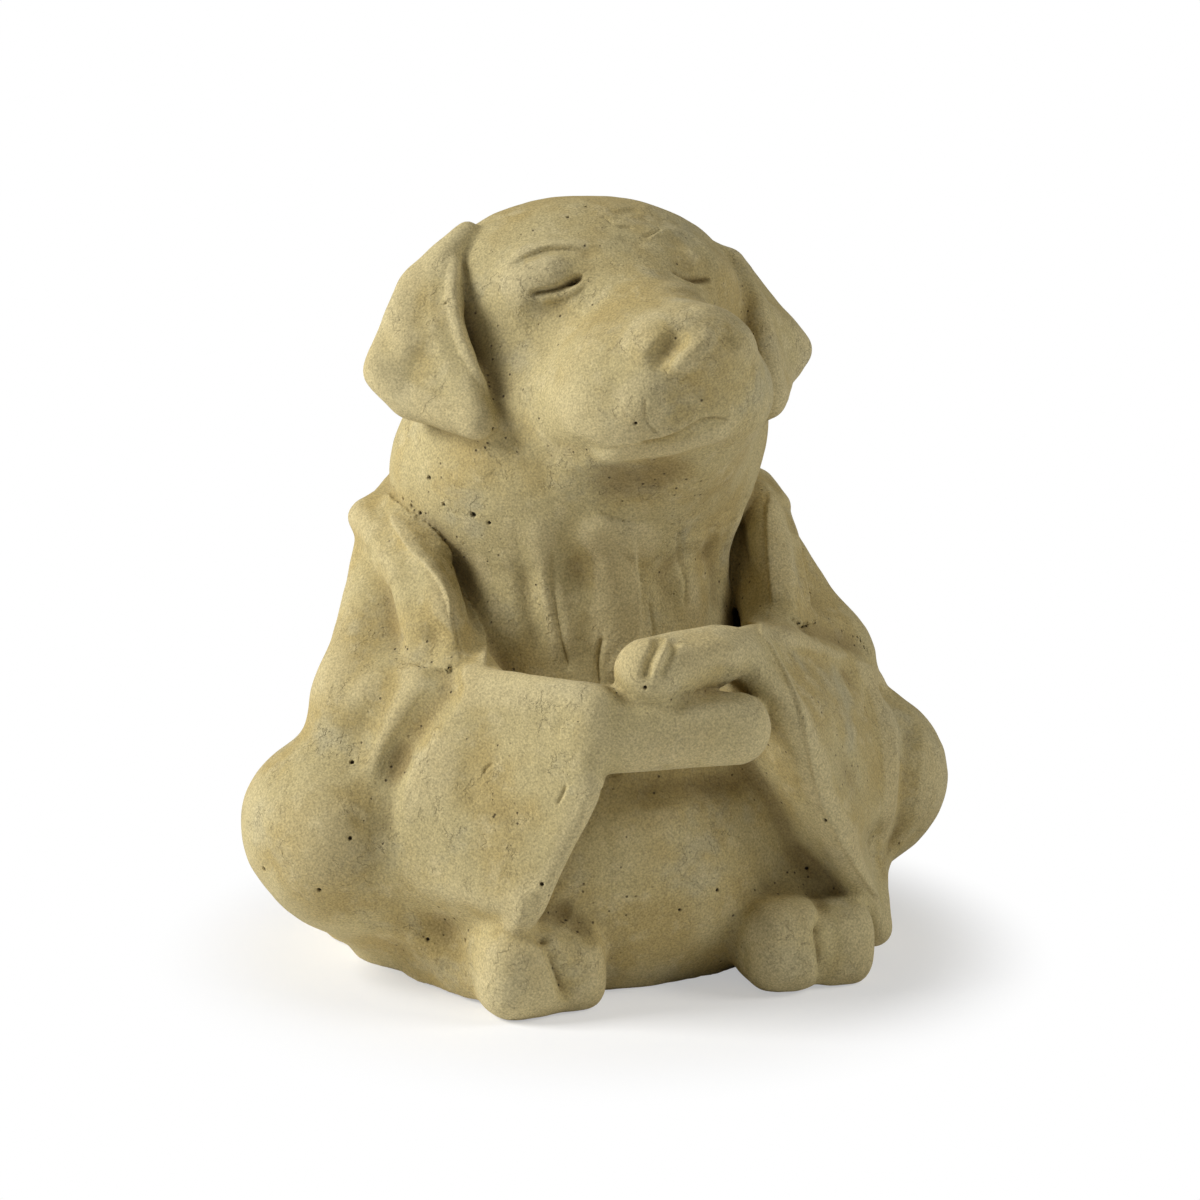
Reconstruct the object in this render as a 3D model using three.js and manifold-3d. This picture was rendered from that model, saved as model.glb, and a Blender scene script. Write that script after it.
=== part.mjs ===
// Cast-stone garden figure of a dog that sits cross-legged in a wide-sleeved robe, paws folded on its belly.
// Millimetres, +Z up. The figure faces -Y, its right-hand side is -X, and the origin is on the floor.
// The real figure is one casting. Each mesh is one modelled section of it, and neighbouring sections
// stand a hairline seam apart.

import * as THREE from 'three';
import { mergeVertices } from 'three/addons/utils/BufferGeometryUtils.js';
import Module from 'manifold-3d';

const wasm = await Module();
wasm.setup();

const vec = (x, y, z) => new THREE.Vector3(x, y, z);
const radians = THREE.MathUtils.degToRad;

// Driving sizes, all in millimetres except the turns, which are degrees, and the steps, sides and cuts,
// which are counts. Radii are half thicknesses. "forward" is towards -Y, "out" is away from the middle
// plane, and "height" is above the floor.
const seam = 0.3;
const softness = { torso: 24, neck: 14, head: 12, knee: 12, shoulder: 8, sleeve: 6, robe: 26, foot: 3 };
const joinOver = { body: 14, robe: 10 };

const trunk = { centreY: 12, hipHeight: 42, hipRadius: 48, chestHeight: 100, chestRadius: 46 };
const belly = { forward: 24, height: 42, halfWidth: 64, halfDepth: 60, halfHeight: 58 };
const lap = { halfSpan: 34, forward: 38, height: 26, radius: 28 };
const neck = { forward: 9, height: 162, halfWidth: 60, halfDepth: 49, halfHeight: 34, aside: 3 };
const throat = { lowForward: 6, lowHeight: 104, highForward: 10, highHeight: 150, radius: 48 };

const head = { out: 2, forward: 10, height: 205, halfWidth: 51, halfDepth: 40, halfHeight: 38, turn: 6 };
const crownLump = { aside: 13, back: 2, rise: 12, halfWidth: 30, halfDepth: 26, halfHeight: 21 };
const eyelid = { out: 23, forward: 26, rise: 13, halfWidth: 13, halfDepth: 9, halfHeight: 8 };
const cheeks = { forward: 12, drop: 27, halfWidth: 53, halfDepth: 42, halfHeight: 30 };
const muzzle = { forward: 48, drop: 19, halfWidth: 36, halfDepth: 38, halfHeight: 22 };
const bridge = { forward: 24, rise: 2, length: 40, slope: 10, rootRadius: 23, tipRadius: 17.5 };
const lips = { forward: 59, drop: 16, rightSpan: 13, leftSpan: 9, radius: 18.5 };
const nose = { forward: 78, drop: 2, halfWidth: 17, halfDepth: 12, halfHeight: 10 };
const chin = { forward: 44, drop: 37, halfWidth: 28, halfDepth: 26, halfHeight: 16 };
const eyeSlit = {
  radius: 1.3,
  inner: { out: 16, rise: 16 },
  middle: { out: 23, rise: 13.5 },
  outer: { out: 30.5, rise: 13 },
};
const nostril = { radius: 2.6, low: { out: 12.5, rise: -4 }, high: { out: 7.5, rise: 1 } };
const mouth = {
  radius: 1.1,
  middle: { out: 0, rise: -32 },
  bend: { out: 10, rise: -33 },
  corner: { out: 22, rise: -36 },
};
const groove = { steps: 4, sides: 6 };
const ear = { rootRadius: 4, edgeRadius: 5, thickRadius: 7, tipRadius: 6.5 };

const robe = { back: 16, shoulderHeight: 127, shoulderSpan: 60, shoulderRadius: 34 };
const waist = { back: 16, height: 84, span: 72, radius: 38 };
const seat = { back: 16, height: 44, span: 80, radius: 42 };
const skirt = { back: 16, height: 16, halfWidth: 88, halfDepth: 50, halfHeight: 40 };
const lapel = { radius: 7, sides: 10, steps: 9 };
const collar = { radius: 6 };
const shoulder = { out: 59, height: 133, topRadius: 14, edgeRadius: 8 };
const sleeve = { elbowRadius: 13, hemRadius: 5, tuckRadius: 15, overKneeRadius: 17, baseRadius: 10 };
const tuck = { out: 2, upperDepth: 32, middleDepth: 28, endDepth: 24, endRadius: 12 };
const knee = { halfWidth: 26, halfDepth: 32, halfHeight: 26, thighRadius: 34, shinRadius: 20, crossOver: 8 };
const ankle = { radius: 12 };
const hip = { out: 48, height: 40 };

const lowerPaw = { rootRadius: 13.5, tipRadius: 11 };
const upperPaw = { rootRadius: 9.5, tipRadius: 10.5 };
const toes = { bigRadius: 14, smallRadius: 12.5, bigHeelRadius: 14, smallHeelRadius: 12, heelSpan: 14 };

// How finely each ball of clay is cut, as cuts along the edges of an icosahedron
const cuts = { head: 9, ear: 6, neck: 4, paw: 3, foot: 4, torso: 5, sleeve: 8, shoulder: 4, knee: 4, robe: 4 };

// Where each arm, ear, leg and lapel goes. The two sides differ, as they do on the figure.
const rightSide = {
  arm: {
    elbow: { out: 77, forward: 25, height: 89 },
    wrist: { out: 25, forward: 94, height: 99 },
    hemTop: { out: 31, forward: 95, height: 73 },
    hemMiddle: { out: 46, forward: 88, height: 38 },
    hemEnd: { out: 51, forward: 68, height: 7 },
    base: { out: 69, forward: 12, height: 10 },
  },
  knee: { out: 90, forward: 26, height: 50 },
  neckSide: { out: 56, forward: 4, height: 138 },
  chestEdge: { out: 50, forward: 50, height: 100 },
  lapel: [
    { out: 62, forward: 4, height: 143 },
    { out: 60, forward: 20, height: 139 },
    { out: 57, forward: 34, height: 129 },
    { out: 55.5, forward: 45, height: 115 },
    { out: 55, forward: 52, height: 96 },
  ],
  ear: {
    root: { out: 40, forward: 9, height: 233 },
    brow: { out: 49, forward: 13, height: 225 },
    crown: { out: 56, forward: 9, height: 216 },
    outer: { out: 71, forward: 17, height: 192 },
    low: { out: 65, forward: 23, height: 184 },
    tip: { out: 52, forward: 45, height: 179 },
    front: { out: 54, forward: 27, height: 206 },
  },
  foot: {
    big: { out: 44, forward: 76, height: 14 },
    small: { out: 28, forward: 74, height: 13 },
    heel: { out: 33, forward: 54, height: 31 },
  },
};
const leftSide = {
  arm: {
    elbow: { out: 82, forward: 18, height: 90 },
    wrist: { out: 23, forward: 85, height: 111 },
    hemTop: { out: 41, forward: 92, height: 88 },
    hemMiddle: { out: 58, forward: 87, height: 50 },
    hemEnd: { out: 80, forward: 66, height: 10 },
    base: { out: 80, forward: 18, height: 12 },
  },
  knee: { out: 96, forward: 22, height: 51 },
  neckSide: { out: 56, forward: 4, height: 138 },
  chestEdge: { out: 50, forward: 50, height: 104 },
  lapel: [
    { out: 60, forward: 2, height: 145 },
    { out: 58, forward: 20, height: 141 },
    { out: 56, forward: 34, height: 130 },
    { out: 54.5, forward: 45, height: 115 },
    { out: 54, forward: 52, height: 96 },
  ],
  ear: {
    root: { out: 37, forward: 9, height: 226 },
    brow: { out: 50, forward: 14, height: 221 },
    crown: { out: 56, forward: 9, height: 212 },
    outer: { out: 71, forward: 17, height: 192 },
    low: { out: 60, forward: 25, height: 185 },
    tip: { out: 46, forward: 47, height: 180 },
    front: { out: 51, forward: 30, height: 205 },
  },
  foot: {
    big: { out: 42, forward: 80, height: 14 },
    small: { out: 64, forward: 77, height: 13 },
    heel: { out: 53, forward: 58, height: 28 },
  },
};
const backCollar = [
  { out: -62, forward: -4, height: 145 },
  { out: -41, forward: -32, height: 151 },
  { out: 0, forward: -45, height: 153 },
  { out: 41, forward: -32, height: 151 },
  { out: 62, forward: -4, height: 145 },
];
const lowerPawRoot = { out: -22, forward: 88, height: 90 };
const lowerPawTip = { out: 20, forward: 94, height: 88 };
const upperPawRoot = { out: 16, forward: 86, height: 109 };
const upperPawTip = { out: -7, forward: 92, height: 107 };

// A form is a function of a point that gives the distance to its skin, below zero inside.

const egg = (centre, halfWidth, halfDepth, halfHeight) => {
  const radii = vec(halfWidth, halfDepth, halfHeight);
  const local = vec();
  return (point) => {
    const near = local.copy(point).sub(centre).divide(radii).length();
    const steepness = Math.max(local.divide(radii).length(), 1e-6);
    return (near * (near - 1)) / steepness;
  };
};

const limb = (from, fromRadius, to, toRadius) => {
  const bone = new THREE.Line3(from, to);
  const nearest = vec();
  return (point) => {
    const along = bone.closestPointToPointParameter(point, true);
    const radius = THREE.MathUtils.lerp(fromRadius, toRadius, along);
    return bone.at(along, nearest).distanceTo(point) - radius;
  };
};

// A rounded three-cornered sheet whose thickness runs evenly from corner to corner.
const flap = (corners, radii) => {
  const sheet = new THREE.Triangle(...corners);
  const cornerRadii = vec(...radii);
  const nearest = vec();
  const share = vec();
  return (point) => {
    sheet.closestPointToPoint(point, nearest);
    sheet.getBarycoord(nearest, share);
    return nearest.distanceTo(point) - share.dot(cornerRadii);
  };
};

// A sheet of several flaps that share corners.
const sheet = (...flaps) => (point) => {
  let skin = Infinity;
  for (const one of flaps) skin = Math.min(skin, one(point));
  return skin;
};

// Fills the hollow between two forms over the given reach.
const filled = (reach, skin, other) => {
  const overlap = Math.max(reach - Math.abs(skin - other), 0) / reach;
  return Math.min(skin, other) - (overlap * overlap * reach) / 4;
};

// Joins forms into one, with the hollows between them filled.
const soften = (reach, ...forms) => (point) => {
  let skin = Infinity;
  for (const form of forms) skin = filled(reach, skin, form(point));
  return skin;
};

// Swells a form where it meets its neighbours, so that it runs into them without a crease, and dives
// under them beyond the seam.
const joining = (reach, form, neighbours) => (point) => {
  const skin = form(point);
  let other = Infinity;
  for (const neighbour of neighbours) other = Math.min(other, neighbour(point));
  const overlap = Math.max(reach - Math.abs(skin - other), 0) / reach;
  return skin - (overlap * overlap * reach) / 4;
};

const posed = (form, pose) => {
  const back = pose.clone().invert();
  const local = vec();
  return (point) => form(local.copy(point).applyMatrix4(back));
};

// How points are marched onto a skin: they start beyond the figure, and each step goes a careful share of
// the distance that is left.
const march = { farthest: 250, closeEnough: 0.005, carefulShare: 0.7, mostSteps: 250 };

// Presses a round ball of clay in towards its middle until its skin lies on the form.
// Detail is the number of cuts along each of the ball's edges, and grow swells the form.
function press(form, middle, detail, grow) {
  const ball = new THREE.IcosahedronGeometry(1, Math.round(detail));
  ball.deleteAttribute('normal');
  ball.deleteAttribute('uv');
  const geometry = mergeVertices(ball, 1e-5);
  const places = geometry.attributes.position;
  const ray = vec();
  const point = vec();
  for (let i = 0; i < places.count; i++) {
    ray.fromBufferAttribute(places, i).normalize();
    let reach = march.farthest;
    for (let step = 0; step < march.mostSteps; step++) {
      point.copy(ray).multiplyScalar(reach).add(middle);
      const gap = form(point) - grow;
      if (gap < march.closeEnough) break;
      reach -= gap * march.carefulShare;
    }
    places.setXYZ(i, point.x, point.y, point.z);
  }
  return geometry;
}

function solidOf(geometry) {
  const bare = geometry.clone();
  bare.deleteAttribute('normal');
  bare.deleteAttribute('uv');
  const merged = mergeVertices(bare, 1e-4);
  return new wasm.Manifold(
    new wasm.Mesh({
      numProp: 3,
      vertProperties: merged.attributes.position.array,
      triVerts: new Uint32Array(merged.index.array),
    }),
  );
}

function geometryOf(solid) {
  const mesh = solid.getMesh();
  return new THREE.BufferGeometry()
    .setAttribute('position', new THREE.BufferAttribute(mesh.vertProperties, 3))
    .setIndex(new THREE.BufferAttribute(mesh.triVerts, 1));
}

const middleOf = (...points) => {
  const sum = vec(0, 0, 0);
  for (const point of points) sum.add(point);
  return sum.divideScalar(points.length);
};

// Places are measured from the trunk's upright middle line, on the floor.
const right = -1;
const left = 1;
const place = (side, { out = 0, forward = 0, height = 0 }) => vec(side * out, trunk.centreY - forward, height);
const middle = (forward, height) => place(left, { forward, height });
const placesOf = (side, spots) =>
  Object.fromEntries(Object.entries(spots).map(([name, spot]) => [name, place(side, spot)]));

// Trunk and neck
const trunkLow = middle(0, trunk.hipHeight);
const trunkHigh = middle(0, trunk.chestHeight);
const bellyCentre = middle(belly.forward, belly.height);
const neckCentre = place(right, { out: neck.aside, forward: neck.forward, height: neck.height });
const across = ({ back, height, span, radius }) =>
  limb(
    place(right, { out: span / 2, forward: -back, height }),
    radius,
    place(left, { out: span / 2, forward: -back, height }),
    radius,
  );
const torsoForm = soften(
  softness.torso,
  limb(trunkLow, trunk.hipRadius, trunkHigh, trunk.chestRadius),
  egg(bellyCentre, belly.halfWidth, belly.halfDepth, belly.halfHeight),
  across({ ...lap, back: -lap.forward, span: lap.halfSpan * 2 }),
);
const neckForm = soften(
  softness.neck,
  limb(
    middle(throat.lowForward, throat.lowHeight),
    throat.radius,
    place(right, { out: neck.aside, forward: throat.highForward, height: throat.highHeight }),
    throat.radius,
  ),
  egg(neckCentre, neck.halfWidth, neck.halfDepth, neck.halfHeight),
);

// Head, shaped facing straight ahead and then turned on the neck
const onHead = ({ out = 0, forward = 0, rise = 0 }) => vec(out, trunk.centreY - forward, head.height + rise);
const eggAt = (centre, { halfWidth, halfDepth, halfHeight }) => egg(centre, halfWidth, halfDepth, halfHeight);
const bridgeRoot = onHead({ forward: head.forward + bridge.forward, rise: bridge.rise });
const bridgeTip = bridgeRoot.clone().add(vec(0, -bridge.length, -bridge.slope));
const inFront = (forward) => forward + head.forward;
const faceForm = soften(
  softness.head,
  eggAt(onHead(head), head),
  eggAt(onHead({ out: -crownLump.aside, forward: inFront(-crownLump.back), rise: crownLump.rise }), crownLump),
  eggAt(onHead({ ...eyelid, forward: inFront(eyelid.forward), out: -eyelid.out }), eyelid),
  eggAt(onHead({ ...eyelid, forward: inFront(eyelid.forward) }), eyelid),
  eggAt(onHead({ forward: inFront(cheeks.forward), rise: -cheeks.drop }), cheeks),
  eggAt(onHead({ forward: inFront(muzzle.forward), rise: -muzzle.drop }), muzzle),
  limb(bridgeRoot, bridge.rootRadius, bridgeTip, bridge.tipRadius),
  limb(
    onHead({ out: -lips.rightSpan, forward: inFront(lips.forward), rise: -lips.drop }),
    lips.radius,
    onHead({ out: lips.leftSpan, forward: inFront(lips.forward), rise: -lips.drop }),
    lips.radius,
  ),
  eggAt(onHead({ forward: inFront(nose.forward), rise: -nose.drop }), nose),
  eggAt(onHead({ forward: inFront(chin.forward), rise: -chin.drop }), chin),
);
const turnOnNeck = new THREE.Matrix4()
  .makeTranslation(0, trunk.centreY, 0)
  .multiply(new THREE.Matrix4().makeRotationZ(radians(head.turn)))
  .multiply(new THREE.Matrix4().makeTranslation(0, -trunk.centreY, 0));
const headForm = posed(faceForm, turnOnNeck);

// Lines drawn on the face from straight in front, to be cut into it as round grooves
const onFace = (side, { out, rise }) => {
  const point = vec(side * out, trunk.centreY - march.farthest, head.height + rise);
  for (let step = 0; step < march.mostSteps; step++) point.y += faceForm(point) * march.carefulShare;
  return point;
};

// An ear hangs from the side of the skull.
const earParts = (side, spots) => {
  const { root, brow, crown, outer, low, tip, front } = placesOf(side, spots);
  const { rootRadius, edgeRadius, thickRadius, tipRadius } = ear;
  const form = sheet(
    flap([root, crown, brow], [rootRadius, thickRadius, rootRadius]),
    flap([front, crown, brow], [edgeRadius, thickRadius, rootRadius]),
    flap([front, crown, outer], [edgeRadius, thickRadius, thickRadius]),
    flap([front, outer, low], [edgeRadius, thickRadius, thickRadius]),
    flap([front, low, tip], [edgeRadius, thickRadius, tipRadius]),
  );
  const centre = middleOf(front, front, crown, outer).applyMatrix4(turnOnNeck);
  return { form: posed(form, turnOnNeck), centre };
};

// Arms, sleeves and shoulders
const sleeveForm = (side, { elbow, wrist, hemTop, hemMiddle, hemEnd, base }, kneeCap) => {
  const { elbowRadius, hemRadius, tuckRadius, overKneeRadius, baseRadius } = sleeve;
  const tucked = (hem, depth) => hem.clone().add(vec(side * tuck.out, depth, 0));
  const tuckTop = tucked(hemTop, tuck.upperDepth);
  const tuckMiddle = tucked(hemMiddle, tuck.middleDepth);
  const tuckEnd = tucked(hemEnd, tuck.endDepth);
  return soften(
    softness.sleeve,
    limb(elbow, elbowRadius, wrist, hemRadius),
    sheet(
      flap([elbow, wrist, hemTop], [elbowRadius, hemRadius, hemRadius]),
      flap([elbow, hemTop, kneeCap], [elbowRadius, hemRadius, overKneeRadius]),
      flap([hemTop, hemMiddle, kneeCap], [hemRadius, hemRadius, overKneeRadius]),
      flap([hemMiddle, base, kneeCap], [hemRadius, baseRadius, overKneeRadius]),
      flap([hemMiddle, hemEnd, base], [hemRadius, hemRadius, baseRadius]),
      flap([wrist, hemTop, tuckTop], [hemRadius, hemRadius, tuckRadius]),
      flap([hemTop, hemMiddle, tuckTop], [hemRadius, hemRadius, tuckRadius]),
      flap([hemMiddle, tuckMiddle, tuckTop], [hemRadius, tuckRadius, tuckRadius]),
      flap([hemMiddle, hemEnd, tuckMiddle], [hemRadius, hemRadius, tuckRadius]),
      flap([hemEnd, tuckEnd, tuckMiddle], [hemRadius, tuck.endRadius, tuckRadius]),
    ),
  );
};
const shoulderForm = (side, elbow, neckSide, chestEdge) =>
  soften(
    softness.shoulder,
    limb(place(side, shoulder), shoulder.topRadius, elbow, sleeve.elbowRadius),
    flap([neckSide, elbow, chestEdge], [shoulder.edgeRadius, sleeve.elbowRadius, shoulder.edgeRadius]),
  );

// Legs and feet
const kneeForm = (side, kneeCap, base) => {
  const inward = -side * (knee.halfWidth - knee.shinRadius);
  const thighEnd = kneeCap.clone().add(vec(inward, knee.crossOver / 2, -knee.crossOver / 2));
  const shinTop = kneeCap.clone().add(vec(inward, -knee.crossOver / 2, -ankle.radius));
  return soften(
    softness.knee,
    eggAt(kneeCap, knee),
    limb(place(side, hip), knee.thighRadius, thighEnd, knee.halfWidth),
    limb(shinTop, knee.shinRadius, base, ankle.radius),
  );
};
const footForm = ({ big, small, heel }) => {
  const aside = vec(toes.heelSpan / 2, 0, 0);
  return soften(
    softness.foot,
    limb(big, toes.bigRadius, heel.clone().sub(aside), toes.bigHeelRadius),
    limb(small, toes.smallRadius, heel.clone().add(aside), toes.smallHeelRadius),
  );
};

// Robe: rolled lapels and collar, and the back that falls from the shoulders
const roll = (points, radius, steps = lapel.steps, sides = lapel.sides) => {
  const ring = new THREE.Shape().absarc(0, 0, radius, 0, Math.PI * 2);
  return new THREE.ExtrudeGeometry(ring, {
    steps: Math.round(steps),
    curveSegments: Math.round(sides / 2),
    bevelEnabled: false,
    extrudePath: new THREE.CatmullRomCurve3(points),
  });
};
const robeForm = soften(
  softness.robe,
  across({ ...robe, height: robe.shoulderHeight, span: robe.shoulderSpan, radius: robe.shoulderRadius }),
  across(waist),
  across(seat),
  eggAt(middle(-skirt.back, skirt.height), skirt),
);

// The two sides of the figure, and the forms that run into each other without a crease
const sideOf = (side, { arm, knee: kneeSpot, neckSide, chestEdge, foot, lapel: lapelSpots, ear: earSpots }) => {
  const places = placesOf(side, arm);
  const kneeCap = place(side, kneeSpot);
  return {
    places,
    kneeCap,
    footPlaces: placesOf(side, foot),
    lapelPath: lapelSpots.map((spot) => place(side, spot)),
    ear: earParts(side, earSpots),
    sleeve: sleeveForm(side, places, kneeCap),
    shoulder: shoulderForm(side, places.elbow, place(side, neckSide), place(side, chestEdge)),
    knee: kneeForm(side, kneeCap, places.base),
  };
};
const rightHalf = sideOf(right, rightSide);
const leftHalf = sideOf(left, leftSide);
const bodyForms = [headForm, neckForm, torsoForm];
const robeForms = [
  robeForm,
  ...[rightHalf, leftHalf].flatMap((half) => [half.sleeve, half.shoulder, half.knee]),
];
const joined = (form) => {
  const [reach, family] = bodyForms.includes(form) ? [joinOver.body, bodyForms] : [joinOver.robe, robeForms];
  return joining(reach, form, family.filter((other) => other !== form));
};

// Every section, the ones that stay whole first: each later one is cut back to clear those before it.
const pressed = (name, form, centre, detail) => ({
  name,
  shape: (grow) => solidOf(press(form, centre, detail, grow)),
});
const rolled = (name, points, radius) => ({ name, shape: (grow) => solidOf(roll(points, radius + grow)) });
const footSection = (name, { footPlaces }) =>
  pressed(name, footForm(footPlaces), middleOf(footPlaces.big, footPlaces.small, footPlaces.heel), cuts.foot);
const kneeSection = (name, { knee: form, kneeCap, places }) =>
  pressed(name, joined(form), middleOf(kneeCap, kneeCap, places.base), cuts.knee);
// The hem is a rolled edge from the wrist down to the floor, joined to the cloth behind it.
const sleeveSection = (name, { sleeve: form, places, kneeCap }) => {
  const { elbow, wrist, hemTop, hemMiddle, hemEnd, base } = places;
  const cloth = pressed(name, joined(form), middleOf(elbow, hemMiddle, hemMiddle, base, kneeCap), cuts.sleeve);
  const hem = rolled(name, [wrist, hemTop, hemMiddle, hemEnd], sleeve.hemRadius);
  return { name, shape: (grow) => cloth.shape(grow).add(hem.shape(grow)) };
};
const shoulderSection = (name, side, { shoulder: form, places }) =>
  pressed(name, joined(form), middleOf(place(side, shoulder), places.elbow), cuts.shoulder);
const pawSection = (name, root, tip, { rootRadius, tipRadius }) =>
  pressed(
    name,
    limb(place(left, root), rootRadius, place(left, tip), tipRadius),
    middleOf(place(left, root), place(left, tip)),
    cuts.paw,
  );

// Grooves of the face: closed eyes, nostrils and mouth
const faceGroove = (side, spots, radius) =>
  roll(
    spots.map((spot) => onFace(side, spot).applyMatrix4(turnOnNeck)),
    radius,
    groove.steps,
    groove.sides,
  );
const faceGrooves = [right, left].flatMap((side) => [
  faceGroove(side, [eyeSlit.inner, eyeSlit.middle, eyeSlit.outer], eyeSlit.radius),
  faceGroove(side, [nostril.low, nostril.high], nostril.radius),
  faceGroove(side, [mouth.middle, mouth.bend, mouth.corner], mouth.radius),
]);

const headMiddle = onHead({ forward: head.forward + cheeks.forward, rise: -cheeks.drop / 2 });
const robeMiddle = middle(-robe.back, (robe.shoulderHeight + seat.height) / 2);
const sections = [
  { ...pressed('head', joined(headForm), headMiddle, cuts.head), grooves: faceGrooves },
  pressed('right_ear', rightHalf.ear.form, rightHalf.ear.centre, cuts.ear),
  pressed('left_ear', leftHalf.ear.form, leftHalf.ear.centre, cuts.ear),
  pressed('neck', joined(neckForm), middleOf(trunkHigh, neckCentre), cuts.neck),
  pawSection('right_paw', lowerPawRoot, lowerPawTip, lowerPaw),
  pawSection('left_paw', upperPawRoot, upperPawTip, upperPaw),
  footSection('right_foot', rightHalf),
  footSection('left_foot', leftHalf),
  pressed('torso', joined(torsoForm), middleOf(trunkLow, bellyCentre), cuts.torso),
  rolled('right_lapel', rightHalf.lapelPath, lapel.radius),
  rolled('left_lapel', leftHalf.lapelPath, lapel.radius),
  rolled('back_collar', backCollar.map((spot) => place(left, spot)), collar.radius),
  sleeveSection('right_sleeve', rightHalf),
  sleeveSection('left_sleeve', leftHalf),
  shoulderSection('right_shoulder', right, rightHalf),
  shoulderSection('left_shoulder', left, leftHalf),
  kneeSection('right_knee', rightHalf),
  kneeSection('left_knee', leftHalf),
  pressed('robe_back', joined(robeForm), robeMiddle, cuts.robe),
];

// Sandy buff stone, dry and rough all over
const stone = new THREE.MeshStandardMaterial({ color: 0xb5a878, roughness: 0.95, metalness: 0 });

const groundBlock = { width: 500, depth: 100 };
const ground = new THREE.BoxGeometry(groundBlock.width, groundBlock.width, groundBlock.depth);
const groundSolid = solidOf(ground.translate(0, 0, -groundBlock.depth / 2));

const largestBody = (solid) => {
  const bodies = solid.decompose();
  bodies.sort((a, b) => b.volume() - a.volume());
  return bodies[0];
};

const figure = new THREE.Group();
const cleared = [];
for (const section of sections) {
  let solid = section.shape(0).subtract(groundSolid);
  for (const groove of section.grooves ?? []) solid = solid.subtract(solidOf(groove));
  for (const earlier of cleared) solid = solid.subtract(earlier);
  cleared.push(section.shape(seam));
  const mesh = new THREE.Mesh(geometryOf(largestBody(solid)), stone);
  mesh.name = section.name;
  figure.add(mesh);
}

// The origin is under the middle of the figure.
const box = new THREE.Box3().setFromObject(figure);
const centre = box.getCenter(vec());
figure.position.set(-centre.x, -centre.y, 0);

export default figure;
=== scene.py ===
# A cast-stone dog figurine: shaped like clay from simple lumps, then carved and finished as sandy stone.
# Lengths are in millimetres unless a note says metres. The figure faces -Y and stands on z = 0.
import math

import bpy
import numpy as np
from mathutils import Matrix, Vector
from mathutils.bvhtree import BVHTree


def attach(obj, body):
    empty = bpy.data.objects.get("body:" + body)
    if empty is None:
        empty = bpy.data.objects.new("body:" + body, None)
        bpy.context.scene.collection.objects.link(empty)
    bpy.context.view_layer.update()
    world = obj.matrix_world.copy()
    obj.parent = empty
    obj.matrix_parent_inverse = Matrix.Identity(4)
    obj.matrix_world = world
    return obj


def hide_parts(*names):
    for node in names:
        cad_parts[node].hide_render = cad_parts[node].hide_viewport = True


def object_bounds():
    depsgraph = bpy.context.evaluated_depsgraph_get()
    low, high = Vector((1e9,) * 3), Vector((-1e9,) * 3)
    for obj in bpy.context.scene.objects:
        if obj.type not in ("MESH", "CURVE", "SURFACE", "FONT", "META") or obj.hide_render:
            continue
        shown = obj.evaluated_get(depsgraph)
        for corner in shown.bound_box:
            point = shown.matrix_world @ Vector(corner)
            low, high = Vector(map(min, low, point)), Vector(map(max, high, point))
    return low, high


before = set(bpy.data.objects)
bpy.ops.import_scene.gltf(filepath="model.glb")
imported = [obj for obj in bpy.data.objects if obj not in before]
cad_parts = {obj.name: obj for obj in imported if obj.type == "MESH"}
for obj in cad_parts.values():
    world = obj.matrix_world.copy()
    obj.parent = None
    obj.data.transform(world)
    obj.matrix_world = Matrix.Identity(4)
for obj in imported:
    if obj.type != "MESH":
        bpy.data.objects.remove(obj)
cadLow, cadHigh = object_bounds()
print("frame loaded, CAD box", tuple(cadLow), tuple(cadHigh))

mm = 0.001
middleShift = np.array([-3.08, 7.01, 0.0])  # from the figure's own middle plane to the frame's origin

# The camera comes first, because the tool strokes are drawn through it
photoCamera = {
    "size": 1200,  # pixels each way
    "lens": 85.0,
    "sensor": 36.0,
    "azimuth": -19.0,  # degrees from straight in front, towards the figure's right
    "elevation": 11.5,
    "distance": 905.0,
    "aim": (0.0, -15.0, 116.0),
    "clip": (0.05, 20),  # metres
}


def cameraAxes(azimuth, elevation):
    a, e = math.radians(azimuth), math.radians(elevation)
    back = np.array([math.sin(a) * math.cos(e), -math.cos(a) * math.cos(e), math.sin(e)])
    right = np.array([math.cos(a), math.sin(a), 0.0])
    return back, right, np.cross(back, right)


cameraBack, cameraRight, cameraUp = cameraAxes(photoCamera["azimuth"], photoCamera["elevation"])
cameraEye = np.array(photoCamera["aim"]) + cameraBack * photoCamera["distance"]


def addCamera(setup):
    data = bpy.data.cameras.new("photoCamera")
    data.lens = setup["lens"]
    data.sensor_width = setup["sensor"]
    data.clip_start, data.clip_end = setup["clip"]
    camera = bpy.data.objects.new("photoCamera", data)
    bpy.context.scene.collection.objects.link(camera)
    camera.location = Vector((cameraEye + middleShift) * mm)
    camera.rotation_euler = Matrix((cameraRight, cameraUp, cameraBack)).transposed().to_euler()
    bpy.context.scene.camera = camera


addCamera(photoCamera)


# Each piece is a few lumps of clay, blended into each other over "blend" millimetres. An egg or a loaf has
# its middle and half sizes, a limb has its two ends with their radii, and a sheet has three-cornered flaps
# with a radius at each corner. "soft" rounds off a piece's creases over that many millimetres.
shapes = {}

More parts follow.
